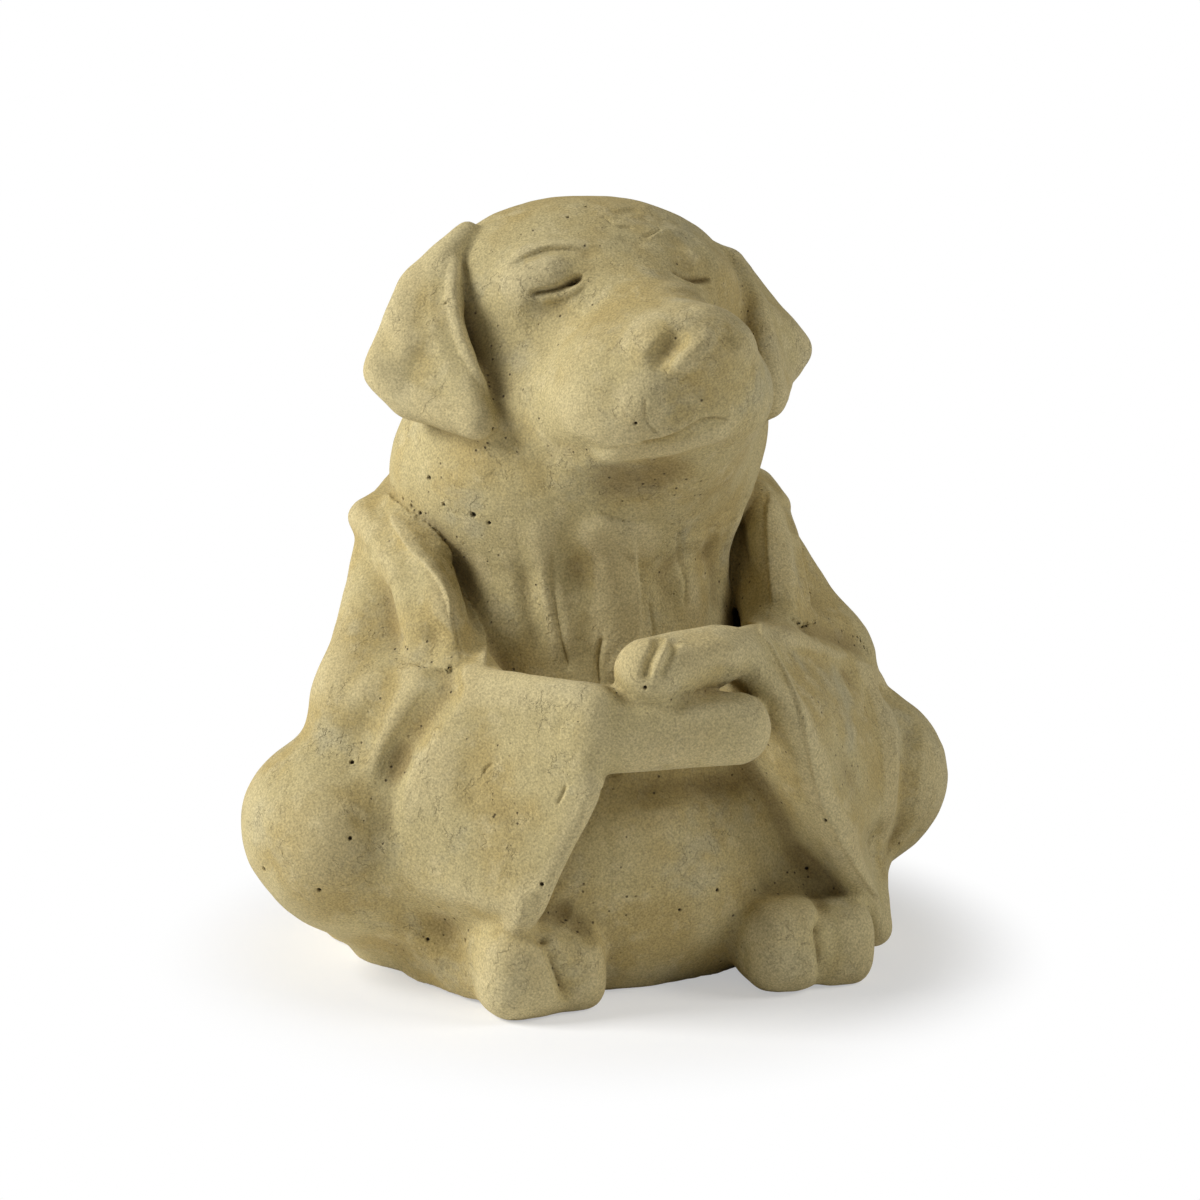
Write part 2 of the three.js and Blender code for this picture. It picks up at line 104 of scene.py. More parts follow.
shapes["torso"] = {
    "blend": 24,
    "clay": [
        ("limb", (0, 12, 42), 48, (0, 12, 100), 46),  # trunk
        ("egg", (0, -12, 42), (64, 60, 58)),  # belly
        ("limb", (-34, -26, 26), 28, (34, -26, 26), 28),  # lap
    ],
}
shapes["neck"] = {
    "blend": 14,
    "clay": [
        ("limb", (-1, 6, 104), 48, (-3, 2, 150), 48),
        ("egg", (-3, 3, 158), (60, 49, 38)),  # the full ruff under the ears
        ("limb", (-37, -22, 108), 11, (-33, -24, 88), 13),  # fills the chest beside the right lapel
    ],
}
headTurn = {"degrees": 6, "about": (0, 12)}  # the head looks a little to the figure's left
shapes["head"] = {
    "blend": 12,
    "turned": True,
    "clay": [
        ("egg", (2, 2, 205), (51, 40, 38)),  # skull
        ("egg", (-13, 4, 217), (30, 26, 21)),  # crown
        ("egg", (-23, -24, 218), (13, 9, 8)),  # right brow
        ("egg", (23, -24, 218), (13, 9, 8)),  # left brow
        ("egg", (0, -10, 178), (53, 42, 30)),  # cheeks
        ("egg", (0, -46, 186), (36, 38, 22)),  # muzzle
        ("limb", (0, -22, 207), 23, (0, -62, 197), 17.5),  # bridge of the nose
        ("limb", (-13, -57, 189), 18.5, (9, -57, 189), 18.5),  # lips
        ("egg", (0, -76, 203), (17, 12, 10)),  # nose
        ("egg", (0, -42, 168), (28, 26, 16)),  # chin
    ],
}
rightEar = {
    "root": (-40, 3, 233),
    "brow": (-49, -1, 225),
    "crown": (-56, 3, 216),
    "outer": (-71, -5, 192),
    "low": (-65, -11, 184),
    "tip": (-52, -33, 179),
    "front": (-54, -15, 206),
}
leftEar = {
    "root": (37, 3, 226),
    "brow": (50, -2, 221),
    "crown": (56, 3, 212),
    "outer": (71, -5, 192),
    "low": (60, -13, 185),
    "tip": (46, -35, 180),
    "front": (51, -18, 205),
}
earThickness = {"root": 4, "brow": 4.5, "front": 5, "thick": 7, "tip": 6.5}  # half thicknesses


def earClay(at):
    # flaps that hang from the root, folded along the line from the brow to the front edge
    thick, front, brow = earThickness["thick"], earThickness["front"], earThickness["brow"]
    flaps = [
        ((at["root"], at["crown"], at["brow"]), (earThickness["root"], thick, brow)),
        ((at["front"], at["crown"], at["brow"]), (front, thick, brow)),
        ((at["front"], at["crown"], at["outer"]), (front, thick, thick)),
        ((at["front"], at["outer"], at["low"]), (front, thick, thick)),
        ((at["front"], at["low"], at["tip"]), (front, thick, earThickness["tip"])),
    ]
    return [("sheet", flaps)]


shapes["right_ear"] = {"blend": 5, "soft": 1.5, "turned": True, "clay": earClay(rightEar)}
shapes["left_ear"] = {"blend": 5, "soft": 1.5, "turned": True, "clay": earClay(leftEar)}
shapes["right_paw"] = {"blend": 6, "clay": [("limb", (-22, -76, 90), 13.5, (20, -82, 88), 11)]}
shapes["left_paw"] = {"blend": 6, "clay": [("limb", (16, -74, 109), 9.5, (-7, -80, 107), 10.5)]}

toeSizes = {"big": (13.5, 16.5, 15), "small": (12, 15, 14)}
rightFoot = {"big": (-43.5, -63, 14), "small": (-28, -61, 13), "heel": (-33, -42, 31)}
leftFoot = {"big": (41.5, -67, 14), "small": (60, -65, 12), "heel": (52, -46, 28)}


def footClay(at):
    # two toes like small loaves, and the top of the foot behind them
    x, y, z = at["heel"]
    return [
        ("loaf", at["big"], toeSizes["big"]),
        ("loaf", at["small"], toeSizes["small"]),
        ("limb", (x - 7, y - 6, z - 4), 13, (x - 4, y, z), 13),
        ("limb", (x + 6, y - 6, z - 5), 11, (x + 4, y, z), 12),
    ]


shapes["right_foot"] = {"blend": 3, "clay": footClay(rightFoot)}
shapes["left_foot"] = {"blend": 3, "clay": footClay(leftFoot)}

# Where each arm, its hanging sleeve and the knee under it go. The hem runs from the wrist to the floor.
arms = {
    "right": {
        "elbow": (-77, -13, 89),
        "wrist": (-25, -82, 99),
        "hemA": (-28.5, -84, 73),
        "hemB": (-43.5, -77, 38),
        "hemEnd": (-54, -49, 6),
        "knee": (-90, -14, 50),
        "base": (-66, 0, 10),
        "underKnee": (16, 7, 3),  # half thicknesses of the cloth under the knee
        "neckSide": (-56, 8, 138),
        "lapel": (-50, -38, 100),
    },
    "left": {
        "elbow": (82, -6, 90),
        "wrist": (23, -73, 111),
        "hemA": (41, -80, 88),
        "hemB": (58, -75, 50),
        "hemEnd": (80, -54, 10),
        "knee": (96, -10, 51),
        "base": (80, -6, 12),
        "underKnee": (8, 4, 2),
        "neckSide": (56, 8, 138),
        "lapel": (50, -38, 104),
    },
}
# Half thicknesses of the sleeve's cloth, and how far back its inside reaches behind each place on the hem
cloth = {"elbow": 13, "hem": 5, "knee": 17, "base": 10, "tuck": 15, "tuckEnd": 12, "chest": 8}
tuckDepth = {"hemA": (2, 32, -4), "hemB": (2, 28, 0), "hemEnd": (2, 24, 0)}


def sleeveClay(at, out):
    elbow, wrist, knee, base = at["elbow"], at["wrist"], at["knee"], at["base"]
    hemA, hemB, hemEnd = at["hemA"], at["hemB"], at["hemEnd"]
    tuckA, tuckB, tuckEnd = (
        (at[name][0] + out * side, at[name][1] + behind, at[name][2] + up)
        for name, (side, behind, up) in tuckDepth.items()
    )
    flaps = [
        ((elbow, wrist, hemA), (cloth["elbow"], cloth["hem"], cloth["hem"])),
        ((elbow, hemA, knee), (cloth["elbow"], cloth["hem"], cloth["knee"])),
        ((hemA, hemB, knee), (cloth["hem"], cloth["hem"], cloth["knee"])),
        ((hemB, base, knee), (cloth["hem"], cloth["base"], cloth["knee"])),
        ((hemB, hemEnd, base), (cloth["hem"], cloth["hem"], cloth["base"])),
        ((wrist, hemA, tuckA), (cloth["hem"], cloth["hem"], cloth["tuck"])),
        ((hemA, hemB, tuckA), (cloth["hem"], cloth["hem"], cloth["tuck"])),
        ((hemB, tuckB, tuckA), (cloth["hem"], cloth["tuck"], cloth["tuck"])),
        ((hemB, hemEnd, tuckB), (cloth["hem"], cloth["hem"], cloth["tuck"])),
        ((hemEnd, tuckEnd, tuckB), (cloth["hem"], cloth["tuckEnd"], cloth["tuck"])),
    ]
    return [("limb", elbow, cloth["elbow"], wrist, cloth["hem"]), ("sheet", flaps)]


def shoulderClay(at, out):
    chestFlap = ((at["neckSide"], at["elbow"], at["lapel"]), (cloth["chest"], cloth["elbow"], cloth["chest"]))
    return [
        ("limb", (out * 59, 12, 133), 14, at["elbow"], cloth["elbow"]),
        ("sheet", [chestFlap]),
    ]


def kneeClay(at, out):
    x, y, z = at["knee"]
    return [
        ("egg", at["knee"], (26, 32, 26)),  # kneecap
        ("limb", (out * 48, 14, 40), 34, (x - out * 6, y + 4, z - 4), 26),  # thigh
        ("limb", (x - out * 6, y - 4, z - 12), 20, at["base"], 12),  # shin
        ("sheet", [((at["knee"], at["base"], at["hemEnd"]), at["underKnee"])]),
    ]


for side, out in (("right", -1), ("left", 1)):
    shapes[side + "_sleeve"] = {"blend": 6, "soft": 2.2, "clay": sleeveClay(arms[side], out)}
    shapes[side + "_shoulder"] = {"blend": 8, "clay": shoulderClay(arms[side], out)}
    shapes[side + "_knee"] = {"blend": 12, "clay": kneeClay(arms[side], out)}

shapes["robe_back"] = {
    "blend": 26,
    "clay": [
        ("limb", (-30, 28, 127), 34, (30, 28, 127), 34),  # shoulders
        ("limb", (-36, 28, 84), 38, (36, 28, 84), 38),  # waist
        ("limb", (-40, 28, 44), 42, (40, 28, 44), 42),  # seat
        ("egg", (0, 28, 16), (88, 50, 40)),  # skirt spread on the floor
    ],
}


def between(a, b, c, d, t):
    # a smooth curve through a, b, c and d, at the share t of the way from b to c
    return 0.5 * (2 * b + (c - a) * t + (2 * a - 5 * b + 4 * c - d) * t * t + (3 * b - a - 3 * c + d) * t**3)


def withEnds(points):
    # the points, with one more beyond each end to steer the curve
    return np.vstack([2 * points[0] - points[1], points, 2 * points[-1] - points[-2]])


ropeSteps = 3  # limbs from one point of a rope of clay to the next


def ropeClay(points, radius):
    padded = withEnds(np.array(points, float))
    spots = []
    for i in range(len(points) - 1):
        for t in np.linspace(0, 1, ropeSteps, endpoint=False):
            spots.append(between(*padded[i : i + 4], t))
    spots.append(padded[-2])
    return [("limb", spots[i], radius, spots[i + 1], radius) for i in range(len(spots) - 1)]


rightLapel = [(-62, 8, 143), (-60, -8, 139), (-57, -22, 129), (-55.5, -33, 115), (-55, -40, 96)]
leftLapel = [(60, 10, 145), (58, -8, 141), (56, -22, 130), (54.5, -33, 115), (54, -40, 96)]
lapelBand = {"edge": 6.8, "outer": 6.2, "width": (6.5, 7.0, -1.0)}


def lapelClay(out, path):
    # a rolled edge, and the turned band that runs from it over the shoulder
    across = np.array(lapelBand["width"]) * (out, 1, 1)
    outer = [tuple(np.array(spot) + across) for spot in path]
    radii = (lapelBand["edge"], lapelBand["edge"], lapelBand["outer"])
    flaps = []
    for i in range(len(path) - 1):
        flaps.append(((path[i], path[i + 1], outer[i]), radii))
        flaps.append(((outer[i], outer[i + 1], path[i + 1]), radii[::-1]))
    return ropeClay(path, lapelBand["edge"]) + [("sheet", flaps)]


shapes["right_lapel"] = {"blend": 0.5, "clay": lapelClay(-1, rightLapel)}
shapes["left_lapel"] = {"blend": 0.5, "clay": lapelClay(1, leftLapel)}
backCollar = [(-62, 16, 145), (-41, 44, 151), (0, 57, 153), (41, 44, 151), (62, 16, 145)]
shapes["back_collar"] = {"blend": 0, "clay": ropeClay(backCollar, 6)}

# Which pieces run into each other, over how many mm, and how far each group runs into those before it
groups = {
    "body": {"blend": 20, "join": 0, "pieces": ["torso", "neck", "head"]},
    "robe": {
        "blend": 10,
        "join": 4,
        "pieces": [
            "robe_back",
            "right_shoulder",
            "left_shoulder",
            "right_knee",
            "left_knee",
            "right_sleeve",
            "left_sleeve",
        ],
    },
    "collar": {"blend": 4, "join": 3, "pieces": ["right_lapel", "left_lapel", "back_collar"]},
    "ears": {"blend": 1, "join": 3, "pieces": ["right_ear", "left_ear"]},
    "paws": {"blend": 2, "join": 4, "pieces": ["right_paw", "left_paw"]},
    "feet": {"blend": 2, "join": 4, "pieces": ["right_foot", "left_foot"]},
}
names = [name for group in groups.values() for name in group["pieces"]]


# The distance from points to the skin of each kind of lump, below zero inside it
def eggDistance(p, centre, radii):
    local = (p - np.array(centre, np.float32)) / np.array(radii, np.float32)
    near = np.sqrt((local * local).sum(1))
    local /= np.array(radii, np.float32)
    return near * (near - 1) / np.maximum(np.sqrt((local * local).sum(1)), 1e-6)


def loafDistance(p, centre, radii):
    # an egg with fuller corners
    local = np.abs(p - np.array(centre, np.float32)) / np.array(radii, np.float32)
    near = np.cbrt((local**3).sum(1))
    return (near - 1) * min(radii)


def limbDistance(p, a, ra, b, rb):
    a, b = np.array(a, np.float32), np.array(b, np.float32)
    bone = b - a
    along = np.clip(((p - a) @ bone) / max(bone @ bone, 1e-9), 0, 1)
    gap = p - a - along[:, None] * bone
    return np.sqrt((gap * gap).sum(1)) - (ra + (rb - ra) * along)


def flapDistance(p, corners, radii):
    a, b, c = (np.array(corner, np.float32) for corner in corners)
    ab, ac = b - a, c - a
    normal = np.cross(ab, ac)
    area = normal @ normal
    q = p - a
    wb = np.cross(q, ac) @ normal / area
    wc = np.cross(ab, q) @ normal / area
    inside = (wb >= 0) & (wc >= 0) & (wb + wc <= 1)
    flat = np.abs(q @ normal) / math.sqrt(area)
    result = flat - (radii[0] + (radii[1] - radii[0]) * wb + (radii[2] - radii[0]) * wc)
    edges = np.minimum(
        np.minimum(limbDistance(p, a, radii[0], b, radii[1]), limbDistance(p, b, radii[1], c, radii[2])),
        limbDistance(p, c, radii[2], a, radii[0]),
    )
    return np.where(inside, np.minimum(result, edges), edges)


def sheetDistance(p, flaps):
    result = None
    for corners, radii in flaps:
        distance = flapDistance(p, corners, radii)
        result = distance if result is None else np.minimum(result, distance)
    return result


distanceTo = {"egg": eggDistance, "loaf": loafDistance, "limb": limbDistance, "sheet": sheetDistance}


def soften(one, other, reach):
    # both distances joined, with the hollow between them filled over the given reach
    if reach <= 0:
        return np.minimum(one, other)
    overlap = np.maximum(reach - np.abs(one - other), 0) / reach
    return np.minimum(one, other) - overlap * overlap * reach / 4


def blur(field, reach):
    # rounds off the creases of a field, reach in grid steps
    ends = 2 * math.ceil(reach)
    taps = np.exp(-0.5 * (np.arange(-ends, ends + 1) / reach) ** 2)
    taps /= taps.sum()
    for axis in range(3):
        pads = [(ends, ends) if i == axis else (0, 0) for i in range(3)]
        padded = np.pad(field, pads, mode="edge")
        total = np.zeros_like(field)
        for k, weight in enumerate(taps):
            window = [slice(None)] * 3
            window[axis] = slice(k, k + field.shape[axis])
            total += np.float32(weight) * padded[tuple(window)]
        field = total
    return field


def unturn(points):
    angle = -math.radians(headTurn["degrees"])
    x, y = headTurn["about"]
    spun = points.copy()
    spun[:, 0] = x + math.cos(angle) * (points[:, 0] - x) - math.sin(angle) * (points[:, 1] - y)
    spun[:, 1] = y + math.sin(angle) * (points[:, 0] - x) + math.cos(angle) * (points[:, 1] - y)
    return spun


def pieceDistance(name, points):
    shape = shapes[name]
    local = unturn(points) if shape.get("turned") else points
    skin = None
    for kind, *sizes in shape["clay"]:
        distance = distanceTo[kind](local, *sizes)
        skin = distance if skin is None else soften(skin, distance, shape["blend"])
    return skin


def clayBox(name, margin):
    low, high = np.full(3, 1e9), np.full(3, -1e9)
    for kind, *sizes in shapes[name]["clay"]:
        if kind in ("egg", "loaf"):
            balls = [(sizes[0], np.array(sizes[1]))]
        elif kind == "limb":
            balls = [(sizes[0], sizes[1]), (sizes[2], sizes[3])]
        else:
            balls = [ball for flap in sizes[0] for ball in zip(*flap)]
        for centre, radius in balls:
            low = np.minimum(low, np.array(centre) - radius)
            high = np.maximum(high, np.array(centre) + radius)
    return low - margin, high + margin


# The grid of distances that all the clay is poured into
grid = {
    "step": 1.25,
    "margin": 6.0,
    "near": 18.0,  # how far outside its clay a piece is still worked out
    "underFloor": 2.5,  # in steps
    "far": 1e3,
}


def fillGrid():
    boxes = {name: clayBox(name, grid["near"]) for name in names}
    low = np.min([box[0] for box in boxes.values()], 0) + grid["near"] - grid["margin"]
    high = np.max([box[1] for box in boxes.values()], 0) - grid["near"] + grid["margin"]
    low[2] = -grid["step"] * grid["underFloor"]
    count = np.ceil((high - low) / grid["step"]).astype(int) + 1
    grid["low"] = low
    axes = [low[i] + grid["step"] * np.arange(count[i]) for i in range(3)]
    whole = None
    nearest = np.full(count, grid["far"], np.float32)
    labels = np.zeros(count, np.uint8)
    for group in groups.values():
        field = np.full(count, grid["far"], np.float32)
        for name in group["pieces"]:
            spans = [np.searchsorted(axes[i], (boxes[name][0][i], boxes[name][1][i])) for i in range(3)]
            window = tuple(slice(a, b) for a, b in spans)
            x, y, z = np.meshgrid(*(axes[i][window[i]] for i in range(3)), indexing="ij")
            points = np.stack([x.ravel(), y.ravel(), z.ravel()], 1).astype(np.float32)
            distance = pieceDistance(name, points).reshape(x.shape)
            if "soft" in shapes[name]:
                distance = blur(distance, shapes[name]["soft"] / grid["step"])
            field[window] = soften(field[window], distance, group["blend"])
            closer = distance < nearest[window]
            nearest[window] = np.where(closer, distance, nearest[window])
            labels[window] = np.where(closer, names.index(name) + 1, labels[window])
        whole = field if whole is None else soften(whole, field, group["join"])
    height = axes[2][None, None, :].astype(np.float32)
    grid["field"] = np.maximum(whole, -height)  # the flat base
    labels[grid["field"] >= 0] = 0
    return labels


def cellCorner(field, i, j, k):
    # the values at one of the eight corners of every cell
    a, b, c = np.array(field.shape) - 1
    return field[i : a + i, j : b + j, k : c + k]


def surfaceNet(labels):
    # one vertex in every cell where labels meet, one face across every grid edge whose ends differ
    field = grid["field"]
    first = cellCorner(labels, 0, 0, 0)
    mixed = np.zeros(first.shape, bool)
    for corner in np.ndindex(2, 2, 2):
        mixed |= cellCorner(labels, *corner) != first
    cells = np.argwhere(mixed)
    ids = np.full(mixed.shape, -1, np.int32)
    ids[mixed] = np.arange(len(cells))
    skinSum, skinCount = np.zeros((len(cells), 3)), np.zeros(len(cells))
    wallSum, wallCount = np.zeros((len(cells), 3)), np.zeros(len(cells))
    for axis in range(3):
        step = np.eye(3, dtype=int)[axis]
        others = [i for i in range(3) if i != axis]
        for u, v in np.ndindex(2, 2):
            start = cells.copy()
            start[:, others[0]] += u
            start[:, others[1]] += v
            end = start + step
            la, lb = labels[tuple(start.T)], labels[tuple(end.T)]
            fa, fb = field[tuple(start.T)], field[tuple(end.T)]
            skin = (la == 0) != (lb == 0)
            wall = (la != lb) & ~skin
            t = np.where(skin, fa / np.where(skin, fa - fb, 1), 0.5)
            crossing = start + t[:, None] * step
            skinSum += crossing * skin[:, None]
            skinCount += skin
            wallSum += crossing * wall[:, None]
            wallCount += wall
    skinMean = skinSum / np.maximum(skinCount, 1)[:, None]
    wallMean = wallSum / np.maximum(wallCount, 1)[:, None]
    places = np.where((skinCount > 0)[:, None], skinMean, wallMean)
    places = grid["low"] + places * grid["step"]
    quads, sides = [], []
    for axis in range(3):
        b, c = (axis + 1) % 3, (axis + 2) % 3
        span = [slice(1, -1)] * 3
        span[axis] = slice(0, -1)
        ahead = list(span)
        ahead[axis] = slice(1, None)
        la, lb = labels[tuple(span)], labels[tuple(ahead)]
        spots = np.argwhere(la != lb)
        base = spots + np.array([0 if i == axis else 1 for i in range(3)])
        around = []
        for db, dc in ((-1, -1), (0, -1), (0, 0), (-1, 0)):
            cell = base.copy()
            cell[:, b] += db
            cell[:, c] += dc
            around.append(ids[tuple(cell.T)])
        quads.append(np.stack(around, 1))
        sides.append(np.stack([la[tuple(spots.T)], lb[tuple(spots.T)]], 1))
    return places, np.vstack(quads), np.vstack(sides)


def quarter(places, quads, chosen=None):
    # splits the chosen faces in four; an unsplit neighbour keeps the new edge points as corners
    chosen = np.ones(len(quads), bool) if chosen is None else chosen
    ends = np.roll(quads, -1, 1)
    keys = np.minimum(quads, ends).astype(np.int64) * len(places) + np.maximum(quads, ends)
    edges, back = np.unique(keys[chosen], return_inverse=True)
    back = back.reshape(-1, 4)
    middles = (places[edges // len(places)] + places[edges % len(places)]) / 2
    split = quads[chosen]
    centres = places[split].mean(1)
    edgeIds = len(places) + back
    centreIds = len(places) + len(middles) + np.arange(len(split))
    out = [np.stack([split[:, k], edgeIds[:, k], centreIds, edgeIds[:, k - 1]], 1) for k in range(4)]
    rest = keys[~chosen]
    spot = np.searchsorted(edges, rest).clip(0, len(edges) - 1)
    extra = np.where(edges[spot] == rest, len(places) + spot, -1)
    hanging = np.vstack([extra, np.full((len(split) * 4, 4), -1)])
    return np.vstack([places, middles, centres]), np.vstack([quads[~chosen]] + out), hanging


def vertexNormals(places, quads):
    p = places[quads]
    n = np.cross(p[:, 2] - p[:, 0], p[:, 3] - p[:, 1])
    normals = np.zeros_like(places)
    for k in range(4):
        for i in range(3):
            normals[:, i] += np.bincount(quads[:, k], n[:, i], len(places))
    return normals / np.maximum(np.linalg.norm(normals, axis=1), 1e-12)[:, None]


def cornerMean(field, cell, share):
    # the eight grid values round each point, each weighted by how near it is
    total = np.zeros(len(cell))
    for corner in np.ndindex(2, 2, 2):
        weight = np.where(corner, share, 1 - share).prod(1)
        total += weight * field[tuple((cell + corner).T)]
    return total


def sampleGrid(field, points):
    spot = (points - grid["low"]) / grid["step"]
    cell = np.clip(np.floor(spot).astype(int), 0, np.array(field.shape) - 2)
    return cornerMean(field, cell, np.clip(spot - cell, 0, 1))


def photoRays(pixels):
    # directions from the camera through pixels of the photo
    x, y = np.array(pixels, float).T
    half = photoCamera["size"] / 2
    focal = photoCamera["size"] * photoCamera["lens"] / photoCamera["sensor"]
    rays = cameraRight * (x - half)[:, None] + cameraUp * (half - y)[:, None] - cameraBack * focal
    return rays / np.linalg.norm(rays, axis=1)[:, None]


# How a ray walks up to a piece: it starts this far in front of the aim and goes a careful share of the
# distance that is left, which is never taken as less or more than these lengths
rayWalk = {"start": 200.0, "steps": 70, "share": 0.8, "least": -5, "most": 40}


def onPiece(pixels, name):
    # where pixels of the photo meet one piece's own shape, even behind its neighbours
    rays = photoRays(pixels)
    along = np.full(len(rays), photoCamera["distance"] - rayWalk["start"])
    for step in range(rayWalk["steps"]):
        left = pieceDistance(name, (cameraEye + rays * along[:, None]).astype(np.float32))
        along += rayWalk["share"] * np.clip(left, rayWalk["least"], rayWalk["most"])
    places = cameraEye + rays * along[:, None]
    slopes = []
    for h in np.eye(3):
        ahead = pieceDistance(name, (places + h).astype(np.float32))
        slopes.append(ahead - pieceDistance(name, (places - h).astype(np.float32)))
    normals = np.stack(slopes, 1)
    return places, normals / np.maximum(np.linalg.norm(normals, axis=1), 1e-9)[:, None]


def onSkin(pixels, tree):
    # where pixels of the photo meet the finished skin
    places, normals = [], []
    for ray in photoRays(pixels):
        place, normal, index, distance = tree.ray_cast(Vector(cameraEye), Vector(ray))
        if place is None:
            aim = Vector(cameraEye + ray * photoCamera["distance"])
            place, normal, index, distance = tree.find_nearest(aim)
        places.append(place)
        normals.append(normal)
    return np.array(places), np.array(normals)


def throughPoints(points, spacing):
    # evenly spaced points on a smooth curve through the given ones
    p = np.array(points, float)
    if len(p) == 1:
        return p
    padded = withEnds(p)
    spots = []
    for i in range(len(p) - 1):
        steps = max(2, int(np.linalg.norm(p[i + 1] - p[i]) / spacing))
        t = np.linspace(0, 1, steps, endpoint=False)[:, None]
        spots.append(between(*padded[i : i + 4], t))
    return np.vstack(spots + [p[-1:]])


def nearestOn(curve, points):
    best = np.full(len(points), 1e9)
    spot = np.zeros(len(points), int)
    for i in range(len(curve)):
        gap = ((points - curve[i]) ** 2).sum(1)
        closer = gap < best
        best[closer] = gap[closer]
        spot[closer] = i
    return np.sqrt(best), spot


# Deep cuts made with a round tool, sizes in mm. The path is in photo pixels and lies on the named piece.
gouges = {
    "besideLeftLapel": {
        "radius": 4.2,
        "depth": 8.0,
        "blend": 2.0,
        "on": "neck",
        "path": [(757, 484), (753, 520), (752, 560), (752, 600), (752, 635)],
    },
    "rightNostril": {
        "radius": 2.8,
        "depth": 2.8,
        "blend": 4.0,
        "on": "head",
        "path": [(660, 357), (668, 348), (677, 340)],
    },
}
aboveClay = 1.5  # mm that a gouge's blade reaches above the clay


def gouge(cut):
    # a blade that reaches from the bottom of the cut to above the clay
    radius, blend = cut["radius"], cut["blend"]
    hits, facing = onPiece(cut["path"], cut["on"])
    levels = np.arange(radius - cut["depth"], radius + aboveClay, radius / 2)
    curve = np.vstack([throughPoints(hits + facing * level, radius / 2) for level in levels])
    reach = radius + blend + 2 * grid["step"]
    low = np.floor((curve.min(0) - reach - grid["low"]) / grid["step"]).astype(int).clip(0)
    high = np.ceil((curve.max(0) + reach - grid["low"]) / grid["step"]).astype(int) + 1
    window = tuple(slice(a, b) for a, b in zip(low, high))
    part = grid["field"][window]
    blade = np.full(part.shape, grid["far"], np.float32)
    axes = [grid["low"][i] + grid["step"] * (low[i] + np.arange(part.shape[i])) for i in range(3)]
    for spot in curve:
        spans = tuple(slice(*np.searchsorted(axes[i], (spot[i] - reach, spot[i] + reach))) for i in range(3))
        x, y, z = (axes[i][spans[i]] - spot[i] for i in range(3))
        distance = np.sqrt(x[:, None, None] ** 2 + y[None, :, None] ** 2 + z[None, None, :] ** 2) - radius
        blade[spans] = np.minimum(blade[spans], distance)
    grid["field"][window] = -soften(-part, blade, blend)


# The pieces that a stroke may mark
face = ["head"]
chest = ["neck", "torso"]
rightLapelSide = ["right_lapel", "right_shoulder", "right_sleeve"]
leftLapelSide = ["left_lapel", "left_shoulder"]
rightSleeveSide = ["right_sleeve", "right_shoulder", "right_knee"]
leftSleeveSide = ["left_sleeve", "left_shoulder", "left_knee"]

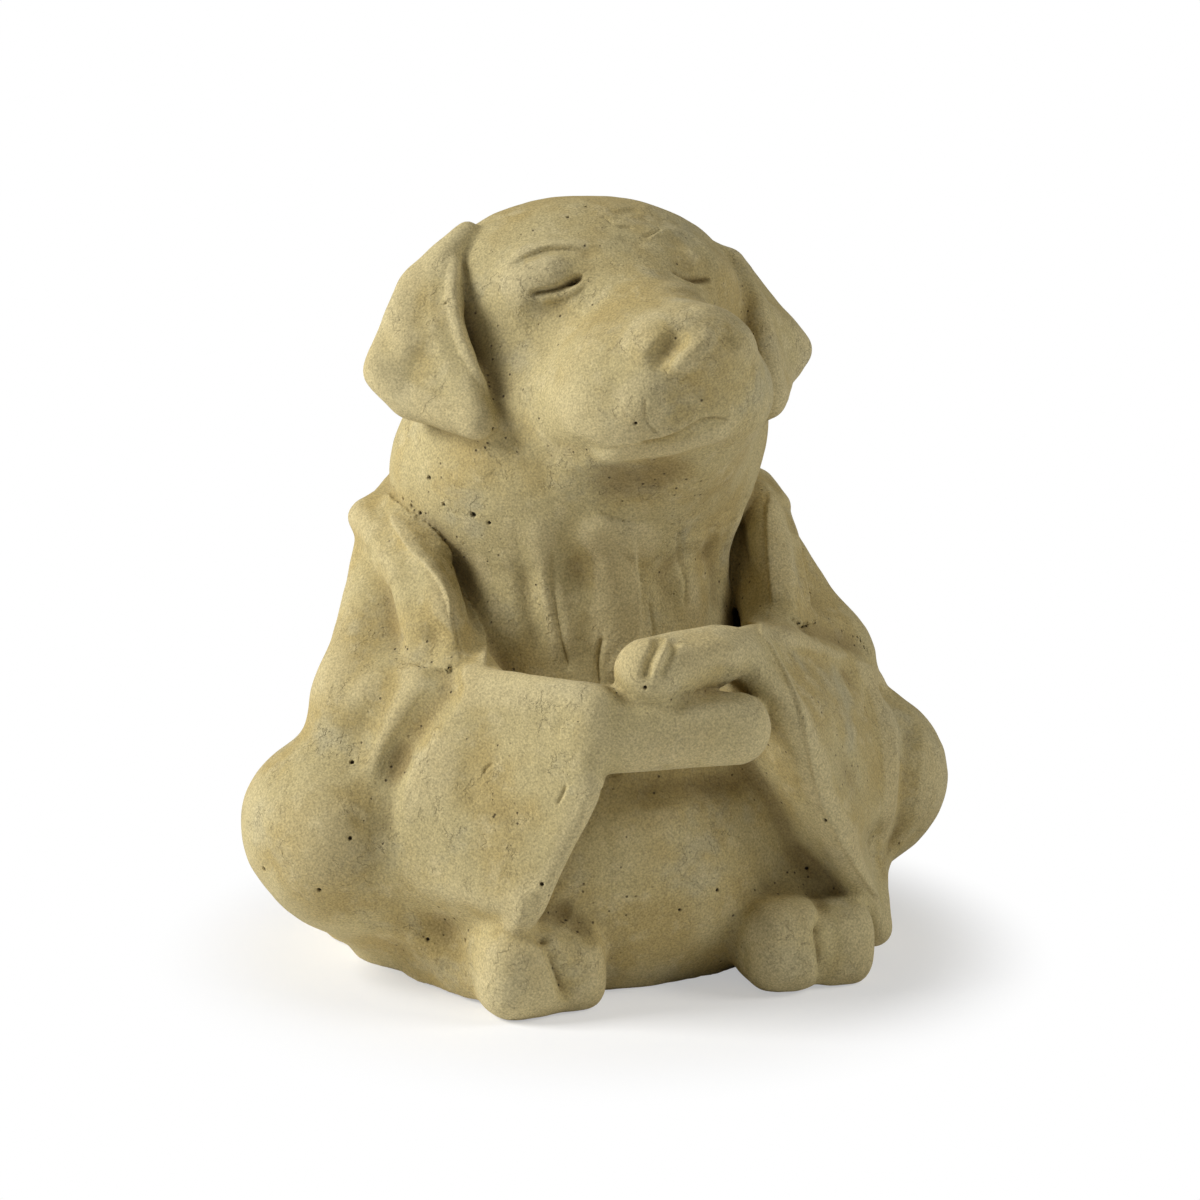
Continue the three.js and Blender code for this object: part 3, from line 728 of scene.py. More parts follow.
# Tool strokes by the place that they mark: kind, reach in mm, height in mm, path in photo pixels. A ridge or
# groove is round, a crease is sharp, and a step raises the skin on one side of its path only.
strokes = {
    "rightEye": {  # brow, lid and slit
        "on": face,
        "marks": [
            ("step", 9, 1.3, [
                (503, 272), (517, 260), (533, 252), (548, 248), (565, 247), (582, 249), (597, 254),
            ]),
            ("groove", 3.6, -0.8, [(510, 268), (533, 254), (560, 249), (584, 251), (598, 257)]),
            ("groove", 7, -1.2, [(590, 245), (598, 264)]),
            ("ridge", 7.5, 1.6, [(530, 279), (552, 268), (574, 266)]),
            ("crease", 1.9, -2.8, [
                (530, 296), (536, 293), (545, 291.5), (555, 289), (565, 284.5), (575, 279), (584, 274),
            ]),
            ("groove", 2.0, -1.4, [(564, 285), (582, 277)]),
            ("ridge", 1.9, 0.6, [(538, 301), (556, 298), (571, 292), (585, 283)]),
            ("groove", 6, -0.8, [(520, 305), (545, 306), (575, 298)]),
        ],
    },
    "leftEye": {  # brow, lid and slit
        "on": face,
        "marks": [
            ("step", 8, 0.7, [(650, 240), (660, 234), (672, 231), (686, 234), (700, 243), (712, 256)]),
            ("groove", 6, -0.6, [(662, 242), (676, 240), (692, 246)]),
            ("ridge", 7, 2.0, [(678, 256), (692, 259), (706, 266)]),
            ("crease", 2.0, -2.6, [(672, 268), (680, 274), (690, 278), (700, 279.5), (712, 279)]),
            ("ridge", 1.6, 0.4, [(674, 274), (688, 283), (702, 285), (715, 281)]),
        ],
    },
    "nose": {  # the right nostril's hollow and wing, the tip and the left nostril
        "on": face,
        "marks": [
            ("groove", 8, -1.8, [(652, 352), (662, 338), (676, 328), (690, 324)]),
            ("groove", 5, -1.2, [(656, 360), (664, 350), (676, 340)]),
            ("ridge", 5, 0.5, [(664, 374), (680, 366), (694, 352), (698, 340)]),
            ("ridge", 5, 1.0, [(684, 309), (705, 310), (728, 313)]),
            ("groove", 5.5, -2.3, [(723, 348), (729, 338), (736, 330)]),
            ("ridge", 4, 0.8, [(702, 352), (708, 338), (712, 326)]),
        ],
    },
    "forehead": {  # chips
        "on": face,
        "marks": [
            ("crease", 1.6, -0.7, [(618, 227), (628, 226), (634, 229)]),
            ("crease", 1.6, -0.7, [(644, 237), (654, 233), (661, 229)]),
            ("crease", 1.5, -0.6, [(600, 216), (608, 219), (612, 224)]),
            ("crease", 1.4, -0.5, [(632, 215), (643, 217), (650, 222)]),
            ("groove", 3, -0.6, [(606, 210), (622, 213), (640, 210)]),
            ("groove", 2.6, -0.5, [(616, 236), (632, 241), (648, 245)]),
        ],
    },
    "muzzle": {  # the bridge of the nose and the muzzle's corner
        "on": face,
        "marks": [
            ("ridge", 6, 1.0, [(655, 282), (680, 287), (703, 294), (722, 302)]),
            ("ridge", 10, 2.2, [(652, 368), (645, 392), (643, 415), (649, 436)]),
            ("groove", 14, -1.6, [(704, 370), (703, 410)]),
            ("groove", 16, -1.4, [(600, 350), (602, 392)]),
        ],
    },
    "mouth": {
        "on": face,
        "marks": [
            ("step", 5, 0.9, [(604, 446), (640, 441), (665, 437), (680, 432), (692, 425), (704, 421)]),
            ("crease", 1.8, -1.2, [(640, 441), (662, 438), (680, 432), (697, 423), (712, 419), (730, 420)]),
            ("crease", 1.4, -0.8, [(646, 397), (645, 412), (649, 424), (658, 433)]),
        ],
    },
    "lowerLip": {
        "on": face + chest,
        "marks": [
            ("groove", 7, -1.0, [(545, 446), (575, 449), (608, 448)]),
            ("ridge", 5, 1.5, [(590, 459), (630, 455), (670, 450), (705, 439), (735, 431)]),
        ],
    },
    "underChin": {  # the shadow under the chin
        "on": face + chest,
        "marks": [
            ("groove", 16, -2.6, [(560, 478), (610, 484), (660, 478), (712, 461)]),
        ],
    },
    "rightEar": {  # its rim, dents and rolled lower edge
        "on": ["right_ear"],
        "marks": [
            ("ridge", 2.8, 1.1, [(457, 255), (452, 290), (457, 322), (464, 345), (478, 372), (490, 392)]),
            ("groove", 4.5, -0.9, [(445, 262), (442, 290), (445, 322), (455, 352), (468, 380)]),
            ("crease", 1.2, -0.9, [(443, 304), (448, 302), (454, 304)]),
            ("groove", 8, -1.0, [(388, 312), (386, 340), (388, 372)]),
            ("groove", 8, -0.8, [(422, 280), (424, 310), (421, 350)]),
            ("ridge", 8, 0.9, [(404, 285), (402, 330), (405, 365)]),
            ("ridge", 7, 1.0, [(368, 378), (395, 392), (425, 408), (455, 425)]),
        ],
    },
    "chest": {  # hollows and upright ridges left by the tool
        "on": chest,
        "marks": [
            ("groove", 22, -2.0, [(628, 505), (660, 512)]),
            ("groove", 10, -1.6, [(572, 462), (576, 500), (580, 560), (586, 610)]),
            ("ridge", 10, 2.2, [(596, 490), (604, 530), (612, 580), (620, 640), (626, 680)]),
            ("step", 14, 2.2, [(634, 676), (638, 620), (637, 575), (632, 530)]),
            ("ridge", 8, 1.3, [(538, 510), (545, 570), (556, 630), (566, 670)]),
            ("groove", 6, -1.1, [(524, 560), (532, 610), (544, 660)]),
            ("crease", 3.4, -1.2, [(553, 548), (554, 590), (562, 640), (570, 672)]),
            ("ridge", 9, 1.3, [(686, 500), (693, 550), (698, 625)]),
            ("groove", 7, -1.2, [(664, 520), (669, 568), (672, 625)]),
            ("crease", 2.6, -0.9, [(678, 530), (683, 575), (684, 610)]),
            ("ridge", 7, 1.2, [(722, 490), (728, 540), (731, 615)]),
            ("groove", 5, -1.1, [(710, 520), (714, 570), (716, 620)]),
            ("crease", 2.0, -1.0, [(600, 688), (598, 665), (602, 635)]),
            ("crease", 1.8, -0.7, [(648, 600), (652, 630), (650, 650)]),
            ("crease", 1.6, -0.6, [(700, 470), (706, 500), (704, 530)]),
            ("crease", 1.6, -0.6, [(722, 462), (727, 490), (722, 516)]),
            ("ridge", 4.5, 1.2, [(632, 646), (622, 662), (612, 684)]),
        ],
    },
    "rightLapel": {  # the crisp edge, the turned band's outer line and the pocket under it
        "on": rightLapelSide,
        "marks": [
            ("step", 5, 1.8, [
                (486, 668), (484, 634), (480, 604), (473, 582), (460, 561), (441, 541), (420, 518),
                (396, 500),
            ]),
            ("groove", 7, -0.7, [(412, 528), (430, 545), (448, 566), (460, 590), (467, 620), (470, 655)]),
            ("step", 6, 1.4, [
                (388, 512), (400, 535), (411, 552), (426, 566), (440, 585), (447, 602), (450, 622),
            ]),
            ("groove", 7, -2.2, [(436, 612), (436, 636), (441, 660)]),
            ("crease", 1.6, -0.7, [(452, 610), (457, 634), (464, 660)]),
        ],
    },
    "leftLapel": {
        "on": leftLapelSide,
        "marks": [
            ("step", 5, 1.2, [(768, 490), (766, 525), (768, 565), (771, 606)]),
        ],
    },
    "rightSleeve": {  # folds that fan out from the elbow, the top ridge and the hem
        "on": rightSleeveSide,
        "marks": [
            ("groove", 9, -2.4, [(456, 658), (443, 684), (428, 708), (414, 732), (398, 760), (388, 790)]),
            ("ridge", 10, 1.2, [(436, 658), (418, 686), (400, 716), (385, 748), (375, 786), (372, 826)]),
            ("groove", 9, -1.0, [(404, 672), (382, 702), (364, 734), (352, 776)]),
            ("ridge", 8, 0.7, [(388, 668), (366, 696), (349, 734)]),
            ("groove", 7, -1.6, [(410, 738), (397, 762), (388, 790), (386, 818), (392, 850)]),
            ("groove", 6, -1.0, [(372, 770), (364, 800), (363, 838)]),
            ("ridge", 16, 1.6, [(452, 700), (436, 756), (428, 826)]),
            ("ridge", 6, 1.2, [(452, 670), (500, 676), (545, 684), (592, 691)]),
            ("groove", 5, -0.9, [(556, 744), (570, 718)]),
            ("groove", 4, -0.8, [(577, 728), (590, 710)]),
            ("crease", 1.3, -0.8, [(556, 806), (562, 795), (566, 784)]),
            ("crease", 1.3, -0.7, [(482, 776), (486, 768), (494, 763)]),
            ("step", 5, 1.3, [
                (470, 970), (481, 950), (503, 935), (524, 915), (545, 889), (559, 869), (571, 847),
                (582, 823), (596, 793), (607, 757), (613, 727), (618, 696),
            ]),
            ("groove", 30, -1.6, [(530, 770), (480, 860)]),
        ],
    },
    "leftSleeve": {
        "on": leftSleeveSide,
        "marks": [
            ("step", 5, 1.3, [
                (722, 626), (748, 624), (760, 632), (771, 648), (781, 668), (791, 690), (800, 715),
                (806, 745), (814, 780), (823, 810), (836, 836), (850, 861), (865, 884), (880, 905),
            ]),
            ("ridge", 6, 1.6, [(775, 634), (800, 640), (825, 648), (850, 660), (875, 676), (896, 697)]),
            ("groove", 10, -1.8, [(782, 616), (810, 626), (838, 638), (862, 648), (886, 666)]),
            ("ridge", 8, 1.8, [
                (846, 658), (868, 684), (882, 718), (890, 755), (889, 795), (882, 835), (876, 866),
            ]),
            ("groove", 7, -1.8, [(908, 716), (908, 750), (905, 790), (897, 830), (889, 866)]),
            ("groove", 18, -1.6, [(840, 720), (848, 780), (856, 830)]),
        ],
    },
    "leftPaw": {  # toes
        "on": ["left_paw"],
        "marks": [
            ("groove", 3.0, -1.7, [(661, 636), (655, 651), (648, 666), (645, 684)]),
            ("groove", 2.6, -1.0, [(676, 636), (671, 652), (664, 668), (662, 682)]),
            ("ridge", 3, 0.9, [(668, 640), (661, 656), (655, 672)]),
            ("ridge", 6, 1.5, [(690, 648), (720, 650), (745, 656)]),
        ],
    },
    "rightPaw": {
        "on": ["right_paw"],
        "marks": [
            ("ridge", 4, 1.2, [(680, 715), (705, 710), (728, 708), (744, 716)]),
            ("groove", 4, -1.0, [(655, 765), (700, 768), (738, 760)]),
        ],
    },
    "belly": {  # the hollow under the lower paw
        "on": ["torso"],
        "marks": [
            ("groove", 8, -1.8, [(618, 790), (665, 786), (710, 782), (755, 772)]),
        ],
    },
    "rightToes": {
        "on": ["right_foot"],
        "marks": [
            ("crease", 4.6, -3.0, [(528, 915), (543, 940), (555, 964), (563, 984), (566, 1004)]),
        ],
    },
    "leftToes": {
        "on": ["left_foot"],
        "marks": [
            ("crease", 4.6, -3.0, [(817, 900), (820, 930), (822, 956), (816, 985)]),
        ],
    },
    "rightInstep": {
        "on": ["right_foot", "torso"],
        "marks": [
            ("groove", 5, -1.6, [(545, 898), (563, 911), (582, 930), (596, 950)]),
        ],
    },
}

# Air holes left by the casting: photo pixel and radius in mm
airHoles = [
    (428, 478, 0.8), (443, 505, 0.7), (473, 515, 1.0), (489, 523, 0.7), (403, 499, 0.6), (411, 506, 0.6),
    (420, 513, 0.6), (494, 429, 0.8), (568, 217, 0.6), (586, 207, 0.6), (636, 422, 0.6), (352, 762, 0.8),
    (350, 838, 0.7), (264, 869, 0.9), (319, 890, 0.8), (466, 940, 0.7), (542, 884, 0.7), (549, 896, 0.6),
    (825, 821, 0.7), (717, 890, 0.7), (680, 910, 0.6), (427, 940, 0.7), (807, 868, 0.7), (645, 688, 0.7),
]

labels = fillGrid()
for cut in gouges.values():
    gouge(cut)
labels[grid["field"] >= 0] = 0
print("clay filled", labels.shape)


def smooth(t):
    t = np.clip(t, 0, 1)
    return t * t * (3 - 2 * t)


def projectToField(places, ids, normals):
    for turn in range(2):
        places[ids] -= normals[ids] * sampleGrid(grid["field"], places[ids])[:, None]


def gridSlope(points):
    slopes = []
    for h in np.eye(3) * grid["step"] / 2:
        slopes.append(sampleGrid(grid["field"], points + h) - sampleGrid(grid["field"], points - h))
    slope = np.stack(slopes, 1)
    return slope / np.maximum(np.linalg.norm(slope, axis=1), 1e-9)[:, None]


def outward(quads, sides):
    # the skin's faces, all turned outward, and the piece of each
    outer = (sides == 0).any(1)
    return np.where((sides[:, 0] == 0)[:, None], quads[:, ::-1], quads)[outer], sides[outer].max(1)


def pieceLabels(pieces):
    return [names.index(name) + 1 for name in pieces]


places, quads, sides = surfaceNet(labels)
places, quads, hanging = quarter(places, quads)
sides = np.vstack([sides] * 4)
skin, skinSide = outward(quads, sides)
atSkin = np.zeros(len(places), bool)
atSkin[skin.ravel()] = True
normals = vertexNormals(places, skin)
projectToField(places, np.flatnonzero(atSkin), normals)
print("skin", atSkin.sum(), "points", len(skin), "faces")

trees = {}


def clayTree(pieces):
    # a search tree over the named pieces only, so that a stroke can reach behind its neighbours
    key = tuple(pieces)
    if key not in trees:
        chosen = np.isin(skinSide, pieceLabels(pieces))
        used, local = np.unique(skin[chosen].ravel(), return_inverse=True)
        trees[key] = BVHTree.FromPolygons(places[used].tolist(), local.reshape(-1, 4).tolist())
    return trees[key]


fineStroke = {"reach": 3.5, "around": 1.2}  # narrower strokes get finer faces, this far around them, in mm
spacing = {"fine": 0.4, "broad": 0.8}  # mm between the points of a stroke
holeDepth = 1.5  # of an air hole, as a share of its radius

drawn = []
for place in strokes.values():
    for kind, wide, deep, path in place["marks"]:
        hits, facing = onSkin(path, clayTree(place["on"]))
        curve = throughPoints(hits, spacing["fine"] if wide < fineStroke["reach"] else spacing["broad"])
        share = np.linspace(0, len(path) - 1, len(curve)).round().astype(int)
        drawn.append((kind, wide, deep, place["on"], curve, facing[share]))
for x, y, radius in airHoles:
    hits, facing = onSkin([(x, y)], clayTree(names))
    drawn.append(("hole", radius, -holeDepth * radius, names, hits, facing))

# finer faces where the fine strokes run
centres = places[skin].mean(1)
fine = np.zeros(len(quads), bool)
outerIds = np.flatnonzero((sides == 0).any(1))
for kind, wide, deep, on, curve, facing in drawn:
    if wide < fineStroke["reach"]:
        reach = wide + fineStroke["around"]
        inBox = np.all((centres > curve.min(0) - reach) & (centres < curve.max(0) + reach), axis=1)
        near = np.flatnonzero(inBox)
        distance, spot = nearestOn(curve, centres[near])
        fine[outerIds[near[distance < reach]]] = True
if fine.any():
    before = len(places)
    places, split, hanging = quarter(places, quads, fine)
    sides = np.vstack([sides[~fine]] + [sides[fine]] * 4)
    quads = split
    skin, skinSide = outward(quads, sides)
    atSkin = np.zeros(len(places), bool)
    atSkin[skin.ravel()] = True
    normals = vertexNormals(places, skin)
    added = np.flatnonzero(atSkin)
    projectToField(places, added[added >= before], normals)
normals = vertexNormals(places, skin)
print("finer skin", atSkin.sum(), "points", len(skin), "faces")

# the hidden walls between pieces stay a little under the skin
wallCover = 0.7  # in grid steps
inner = places[~atSkin]
depth = sampleGrid(grid["field"], inner)
shallow = np.clip(depth + grid["step"] * wallCover, 0, None)
places[~atSkin] = inner - gridSlope(inner) * shallow[:, None]

pieceOf = np.zeros(len(places), np.uint8)
for column in range(4):
    pieceOf[skin[:, column]] = skinSide
moved = np.zeros(len(places))  # how far each point has been raised, in mm
cutShade = np.zeros(len(places))  # how much painted shade each point gets where it lies in a crease or an air hole, more for a deeper crease
skinIds = np.flatnonzero(atSkin)
skinPlaces = places[skinIds]
skinNormals = normals[skinIds]
skinPiece = pieceOf[skinIds]

# How a tool marks the clay
tool = {
    "around": 1.05,  # skin that is looked at, in reaches of the stroke
    "turnAway": 4,  # how fast a mark dies out where the skin turns away from the tool
    "endFade": 1.5,  # each end fades over this many reaches
    "endHeight": 0.15,  # and keeps this share of its height
    "stepWidth": 0.9,  # mm
    "creaseShade": 0.25,  # painted shade in a crease, for each mm of its depth
    "holeShade": 3,  # painted shade in an air hole
}


def carve(kind, wide, deep, on, curve, facing):
    # raises or lowers the skin beside a curve, and paints shade into creases and air holes; deep is the
    # height in mm, negative to cut in
    reach = wide * tool["around"]
    near = np.all((skinPlaces > curve.min(0) - reach) & (skinPlaces < curve.max(0) + reach), axis=1)
    near &= np.isin(skinPiece, pieceLabels(on))
    ids = np.flatnonzero(near)
    if not len(ids):
        print("a stroke found no clay", kind, on, curve[0])
        return
    p = skinPlaces[ids]
    distance, spot = nearestOn(curve, p)
    gap = distance / wide
    amount = np.clip((skinNormals[ids] * facing[spot]).sum(1) * tool["turnAway"] + 1, 0, 1)
    if kind != "hole":
        along = spot / (len(curve) - 1)
        length = np.linalg.norm(np.diff(curve, axis=0), axis=1).sum()
        fade = np.minimum(along, 1 - along) * length / (wide * tool["endFade"])
        amount = amount * smooth(fade + tool["endHeight"])
    if kind == "crease":
        shape = np.clip(1 - gap, 0, 1) ** 2
        cutShade[skinIds[ids]] += tool["creaseShade"] * max(-deep, 0) * shape * amount
    elif kind == "hole":
        shape = np.clip(1 - gap**3, 0, 1)
        cutShade[skinIds[ids]] += tool["holeShade"] * shape * amount
    elif kind == "step":
        # full height close on the path's left side, none on its right
        tangent = np.gradient(curve, axis=0)
        across = np.cross(facing, tangent)
        across /= np.maximum(np.linalg.norm(across, axis=1), 1e-9)[:, None]
        side = ((p - curve[spot]) * across[spot]).sum(1)
        shape = smooth(side / tool["stepWidth"] + 0.5) * np.clip(1 - gap, 0, 1) ** 1.5
    else:
        shape = np.clip(1 - gap * gap, 0, 1) ** 2
    moved[skinIds[ids]] += deep * shape * amount


for stroke in drawn:
    carve(*stroke)
print("carved", len(drawn) - len(airHoles), "strokes and", len(airHoles), "air holes")

# The hand-modelled skin: lumps about as far apart as a thumb, a fingertip and a modelling tool, in mm
handLumps = {
    "thumb": {"apart": 27, "height": 0.6, "seed": 11},
    "fingertip": {"apart": 11, "height": 0.32, "seed": 12},
    "tool": {"apart": 4.2, "height": 0.14, "seed": 13},
}


def lumps(points, size, seed):
    # smooth random lumps between -1 and 1
    local = (points - points.min(0)) / size
    dice = np.random.default_rng(seed).uniform(-1, 1, np.ceil(local.max(0)).astype(int) + 2)
    cell = local.astype(int)
    return cornerMean(dice, cell, smooth(local - cell))


for lump in handLumps.values():
    moved[skinIds] += lump["height"] * lumps(skinPlaces, lump["apart"], lump["seed"])
places[atSkin] += normals[atSkin] * moved[atSkin][:, None]
places[:, 2] = np.maximum(places[:, 2], 0)

# the lumps mustn't carry the figure out of its box, so the last few mm before each side are pressed in
lastFew = 6.0
pressHardness = 8
boxLow, boxHigh = (np.array(corner) / mm - middleShift for corner in (cadLow, cadHigh))
middle, half = (boxLow + boxHigh) / 2, (boxHigh - boxLow) / 2
over = np.maximum(np.abs(places - middle) - (half - lastFew), 0) / lastFew
pressed = (over / (1 + over**pressHardness) ** (1 / pressHardness) - over) * lastFew
pressed[:, 2] = np.where(places[:, 2] > middle[2], pressed[:, 2], 0)
places += np.sign(places - middle) * pressed
normals = vertexNormals(places, skin)

# how enclosed each point is, above 0 in hollows and below 0 on ridges, from the clay within two reaches; it
# drives the painted shade in the hollows, the rubbed pale ridges and where pores open
hollowReach = {"broad": (8.0, 1.1), "close": (3.0, 0.9)}  # mm, and how much it counts
raisedShare = 0.05  # how much each mm that a point was raised by the tools counts the other way
solid = np.clip(0.5 - grid["field"] / (2 * grid["step"]), 0, 1)
hollow = np.zeros(len(places))
for reach, share in hollowReach.values():
    hollow += share * (sampleGrid(blur(solid, reach / grid["step"]), places) - 0.5)
hollow -= raisedShare * moved
print("skin finished")


def toLinear(hexColour):
    channels = [int(hexColour[i : i + 2], 16) / 255 for i in (0, 2, 4)]
    return tuple(c / 12.92 if c <= 0.04045 else ((c + 0.055) / 1.055) ** 2.4 for c in channels) + (1.0,)


def addNode(tree, kind, settings=None, links=None):
    # settings are the node's options and socket values, links are the sockets that feed it
    node = tree.nodes.new("ShaderNode" + kind)
    for name, value in (settings or {}).items():
        if isinstance(name, str) and hasattr(node, name):
            setattr(node, name, value)
        else:
            node.inputs[name].default_value = value
    for name, source in (links or {}).items():
        tree.links.new(source, node.inputs[name])
    return node


# Cast stone: cement and buff sand tamped nearly dry into a mould. It's matt and gritty, paler where the
# cement skin is rubbed, with ochre patches and open pores;
# painted shade, darker and browner, lies in its hollows, creases, air holes and pores.
stoneLook = {
    "roughness": 0.93,
    "buff": "BCAD7C",  # the sand mix itself
    "ochre": "B39F68",  # sand-rich patches
    "grey": "B0A887",  # weathered lime bloom
    "pale": "C9BA8C",  # rubbed cement skin on ridges
    "hollowShade": "8B7748",  # painted shade, darker and browner, in the hollows
    "hole": "2E2413",  # painted shade inside air holes, creases and open pores
    # patterns: size in mm, detail and seed
    "patterns": {
        "patches": (34, 3, 1.0),
        "blotches": (7, 4, 2.0),
        "bloom": (20.4, 5, 3.0),
        "grain": (0.65, 1, 4.0),  # 0.3 to 0.6 mm sand, drawn a little coarser so that it shows
        "coarseSand": (1.43, 2, 5.0),
        "flakes": (9, 6, 6.0),
    },
    "patternRoughness": 0.6,
    "poreSpacing": 2.6,  # mm
    "unevenness": 0.10,  # how much the blotches break up the edges of ridges and hollows
    # coats over the buff mix: colour, what drives it, where it starts and is full, and the most of it
    "coats": [
        ("ochre", "patches", 0.42, 0.62, 1.0),
        ("grey", "bloom", 0.52, 0.68, 0.55),
        ("pale", "blotches", 0.50, 0.70, 0.6),
        ("pale", "uneven", -0.06, -0.26, 0.6),  # ridges are rubbed pale
        ("hollowShade", "uneven", 0.06, 0.50, 0.8),  # painted shade in the hollows
        # painted shade in creases and air holes
        ("hole", "cut", 0.3, 2.2, 0.95),
    ],
    # grains of sand, darker and lighter than the cement between them
    "speckle": {"From Min": 0.3, "From Max": 0.7, "To Min": 0.74, "To Max": 1.22},
    # pores are open where the mix is sandy and in the hollows, with painted shade in them, and the skin is
    # torn here and there, with a crisp edge
    "masks": {
        "pores": [("chance", 0.60, 0.62), ("sandy", 0.47, 0.62), ("fromPore", 0.20, 0.08)],
        "chips": [("flakes", 0.545, 0.565), ("bloom", 0.46, 0.56)],
    },
    # how dark the painted shade in a pore is
    "poreShade": 0.75,
    "grit": {"grain": 0.55, "coarseSand": 0.6, "pores": -1.6},  # what stands out and what is sunk
    "heights": {"grit": 0.22, "chips": -0.22, "blotches": 0.35},  # mm
}


def castStone(look):
    material = bpy.data.materials.new("castStone")
    material.use_nodes = True
    tree = material.node_tree
    shader = tree.nodes["Principled BSDF"]
    shader.inputs["Roughness"].default_value = look["roughness"]
    place = addNode(tree, "TexCoord").outputs["Object"]
    measure = {}
    for name in ("hollow", "cut"):
        measure[name] = addNode(tree, "Attribute", {"attribute_name": name}).outputs["Fac"]
    for name, (size, detail, seed) in look["patterns"].items():
        settings = {"noise_dimensions": "4D", "Scale": 1 / (size * mm), "Detail": detail, "W": seed}
        settings["Roughness"] = look["patternRoughness"]
        measure[name] = addNode(tree, "TexNoise", settings, {"Vector": place}).outputs["Fac"]
    settings = {"Scale": 1 / (look["poreSpacing"] * mm), "Randomness": 1.0}
    cells = addNode(tree, "TexVoronoi", settings, {"Vector": place}).outputs
    measure["fromPore"] = cells["Distance"]
    measure["chance"] = addNode(tree, "SeparateColor", None, {0: cells["Color"]}).outputs[0]
    links = {0: measure["blotches"], 1: measure["hollow"]}
    measure["sandy"] = addNode(tree, "Math", {"operation": "ADD"}, links).outputs[0]
    centred = addNode(tree, "Math", {"operation": "SUBTRACT", 1: 0.5}, {0: measure["blotches"]}).outputs[0]
    settings = {"operation": "MULTIPLY_ADD", 1: look["unevenness"]}
    links = {0: centred, 2: measure["hollow"]}
    measure["uneven"] = addNode(tree, "Math", settings, links).outputs[0]

    # every ramp of a mask has the one before it as its top
    for name, ramps in look["masks"].items():
        links = {}
        for driver, start, full in ramps:
            settings = {"interpolation_type": "SMOOTHSTEP", "From Min": start, "From Max": full}
            links["Value"] = measure[driver]
            links["To Max"] = addNode(tree, "MapRange", settings, links).outputs["Result"]
        measure[name] = links["To Max"]

    # colour: the coats, among them the painted shade of the hollows, creases and air holes, then the grains
    # of sand and then the painted shade of the pores
    colour = addNode(tree, "RGB").outputs[0]
    colour.default_value = toLinear(look["buff"])
    for name, driver, start, full, most in look["coats"]:
        settings = {"interpolation_type": "SMOOTHSTEP", "From Min": start, "From Max": full, "To Max": most}
        share = addNode(tree, "MapRange", settings, {"Value": measure[driver]}).outputs["Result"]
        settings = {"data_type": "RGBA", 7: toLinear(look[name])}
        colour = addNode(tree, "Mix", settings, {0: share, 6: colour}).outputs[2]
    speckle = addNode(tree, "MapRange", look["speckle"], {"Value": measure["grain"]}).outputs[0]
    shade = addNode(tree, "CombineColor", None, {0: speckle, 1: speckle, 2: speckle}).outputs[0]
    settings = {"data_type": "RGBA", "blend_type": "MULTIPLY", 0: 1.0}
    colour = addNode(tree, "Mix", settings, {6: colour, 7: shade}).outputs[2]
    # painted shade in the open pores
    settings = {"operation": "MULTIPLY", 1: look["poreShade"]}
    share = addNode(tree, "Math", settings, {0: measure["pores"]}).outputs[0]
    settings = {"data_type": "RGBA", 7: toLinear(look["hole"])}
    colour = addNode(tree, "Mix", settings, {0: share, 6: colour}).outputs[2]
    tree.links.new(colour, shader.inputs["Base Color"])

    # relief: grit and pores, torn skin and broad blotches
    links = {}
    for name, weight in look["grit"].items():
        settings = {"operation": "MULTIPLY_ADD", 1: weight, 2: 0.0}
        links[0] = measure[name]
        links[2] = addNode(tree, "Math", settings, links).outputs[0]
    measure["grit"] = links[2]
    links = {}
    for name, height in look["heights"].items():
        settings = {"Strength": 1.0, "Distance": height * mm}
        links["Height"] = measure[name]
        links["Normal"] = addNode(tree, "Bump", settings, links).outputs["Normal"]
    tree.links.new(links["Normal"], shader.inputs["Normal"])
    return material


stone = castStone(stoneLook)
print("material", stone.name)


def makePiece(name):
    label = names.index(name) + 1
    mine = (sides == label).any(1)
    flip = (sides[mine][:, 1] == label)[:, None]
    corners, extra = quads[mine], hanging[mine]
    # corner, edge point, corner, edge point and so on, turned round for the faces that look inward
    loops = np.empty((len(corners), 8), np.int64)
    loops[:, 0::2] = np.where(flip, corners[:, ::-1], corners)
    loops[:, 1::2] = np.where(flip, np.roll(extra[:, ::-1], -1, 1), extra)
    counts = (loops >= 0).sum(1)
    used, local = np.unique(loops[loops >= 0], return_inverse=True)
    mesh = bpy.data.meshes.new("stone_" + name)
    mesh.vertices.add(len(used))
    mesh.vertices.foreach_set("co", ((places[used] + middleShift) * mm).astype(np.float32).ravel())
    mesh.loops.add(len(local))
    mesh.loops.foreach_set("vertex_index", local.astype(np.int32))
    mesh.polygons.add(len(counts))
    mesh.polygons.foreach_set("loop_start", (np.cumsum(counts) - counts).astype(np.int32))
    mesh.polygons.foreach_set("use_smooth", np.ones(len(counts), bool))
    mesh.update(calc_edges=True)
    mesh.validate()
    for attribute, values in (("hollow", hollow), ("cut", cutShade)):
        data = mesh.attributes.new(attribute, "FLOAT", "POINT").data
        data.foreach_set("value", values[used].astype(np.float32))
    mesh.normals_split_custom_set_from_vertices(normals[used].astype(np.float32))
    mesh.materials.append(stone)
    piece = bpy.data.objects.new("stone_" + name, mesh)
    bpy.context.scene.collection.objects.link(piece)
    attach(piece, "root")
    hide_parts(name)
    return piece


made = {name: makePiece(name) for name in names}
print("pieces", {name: len(piece.data.polygons) for name, piece in made.items()})

# Matt white paper that fades into the white studio just outside the figure's shadow, sizes in metres
white = toLinear("FFFFFF")
paper = {"radius": 1.6, "sides": 96, "fadeStart": 0.10, "fadeEnd": 0.15, "nearGlow": 0.42}


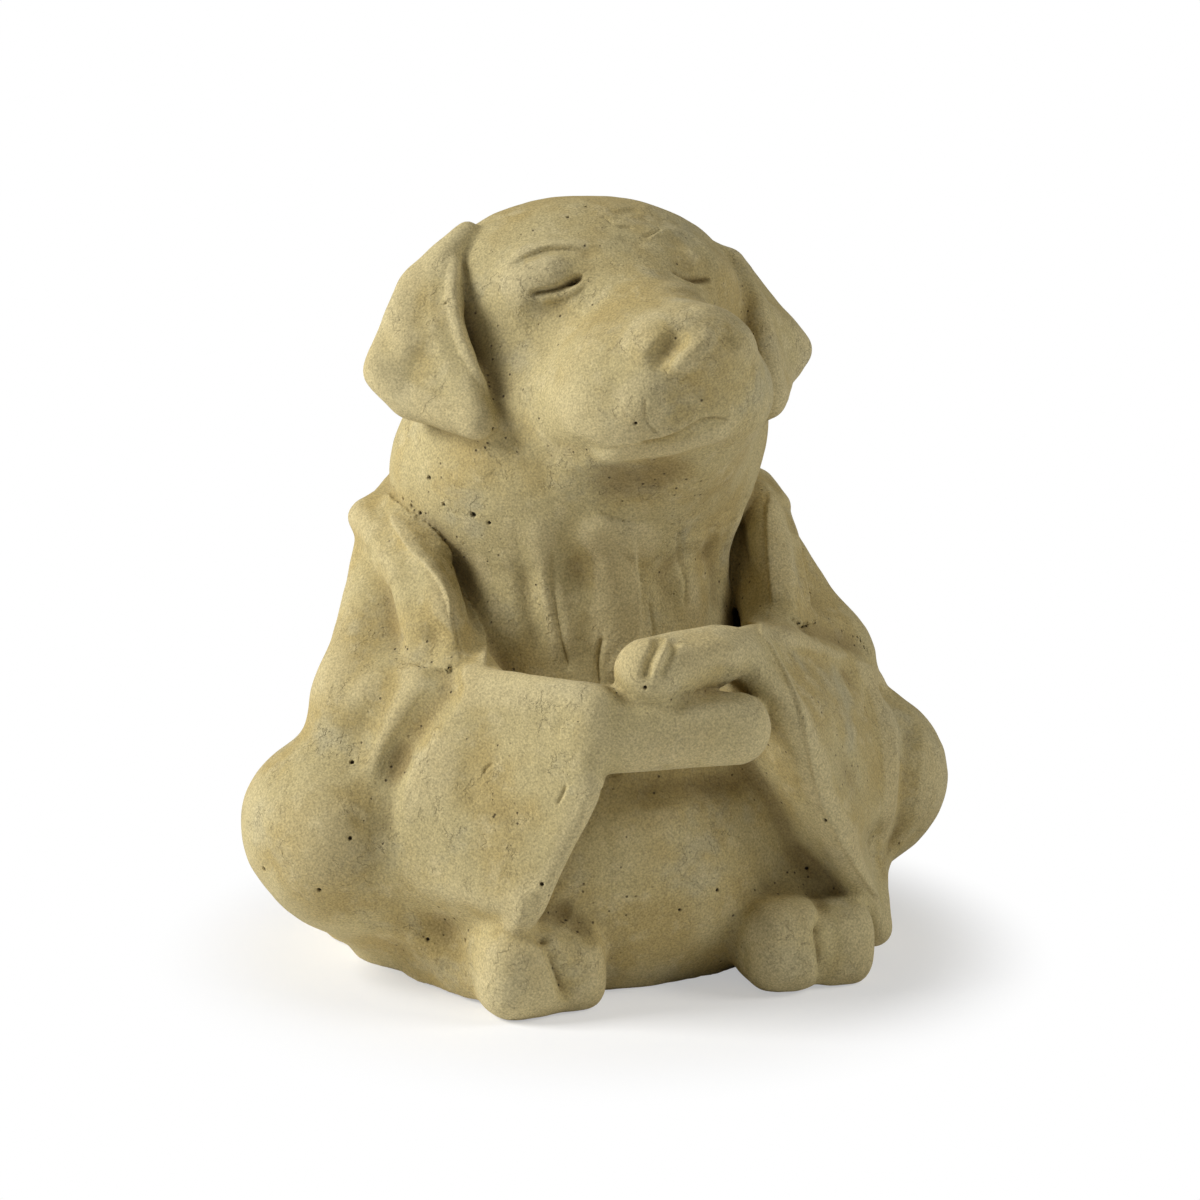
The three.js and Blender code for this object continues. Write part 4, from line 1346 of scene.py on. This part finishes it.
def addFloor(look):
    bpy.ops.mesh.primitive_circle_add(vertices=look["sides"], radius=look["radius"], fill_type="NGON")
    floor = bpy.context.object
    floor.name = "studioFloor"
    material = bpy.data.materials.new("whitePaper")
    material.use_nodes = True
    tree = material.node_tree
    shader = tree.nodes["Principled BSDF"]
    shader.inputs["Base Color"].default_value = white
    shader.inputs["Roughness"].default_value = 1.0
    shader.inputs["Specular IOR Level"].default_value = 0.0
    glow = addNode(tree, "Emission", {"Color": white, "Strength": 1.0}).outputs[0]
    place = addNode(tree, "TexCoord").outputs["Object"]
    away = addNode(tree, "VectorMath", {"operation": "LENGTH"}, {0: place}).outputs["Value"]
    settings = {
        "interpolation_type": "SMOOTHSTEP",
        "From Min": look["fadeStart"],
        "From Max": look["fadeEnd"],
        "To Min": look["nearGlow"],
        "To Max": 1.0,
    }
    fade = addNode(tree, "MapRange", settings, {"Value": away}).outputs["Result"]
    seen = addNode(tree, "LightPath").outputs["Is Camera Ray"]
    share = addNode(tree, "Math", {"operation": "MULTIPLY"}, {0: fade, 1: seen}).outputs[0]
    surface = addNode(tree, "MixShader", None, {0: share, 1: shader.outputs[0], 2: glow}).outputs[0]
    tree.links.new(surface, tree.nodes["Material Output"].inputs["Surface"])
    floor.data.materials.append(material)


# A softbox high on the figure's right and a weaker reflector on its left, in metres
lamps = {
    "softbox": {"at": (-1.59, 0.28, 1.13), "watts": 38, "size": 0.8},
    "reflector": {"at": (1.40, -0.81, 1.13), "watts": 13, "size": 0.8},
}
lampAim = (0, 0, 0.12)
studioLight = 0.11  # strength of the white room's own light


def addLamp(name, lamp):
    data = bpy.data.lights.new(name, "AREA")
    data.energy = lamp["watts"]
    data.size = lamp["size"]
    light = bpy.data.objects.new(name, data)
    bpy.context.scene.collection.objects.link(light)
    light.location = lamp["at"]
    light.rotation_euler = (Vector(lamp["at"]) - Vector(lampAim)).to_track_quat("Z", "Y").to_euler()


def addWorld(strength):
    # a dim white room, which the camera sees as plain white
    world = bpy.data.worlds.new("studio")
    bpy.context.scene.world = world
    world.use_nodes = True
    tree = world.node_tree
    room = tree.nodes["Background"]
    room.inputs["Color"].default_value = white
    room.inputs["Strength"].default_value = strength
    plain = addNode(tree, "Background", {"Color": white, "Strength": 1.0}).outputs[0]
    seen = addNode(tree, "LightPath").outputs["Is Camera Ray"]
    surface = addNode(tree, "MixShader", None, {0: seen, 1: room.outputs[0], 2: plain}).outputs[0]
    tree.links.new(surface, tree.nodes["World Output"].inputs["Surface"])


addFloor(paper)
for name, lamp in lamps.items():
    addLamp(name, lamp)
addWorld(studioLight)
bpy.context.scene.view_settings.view_transform = "Standard"
print("studio ready")
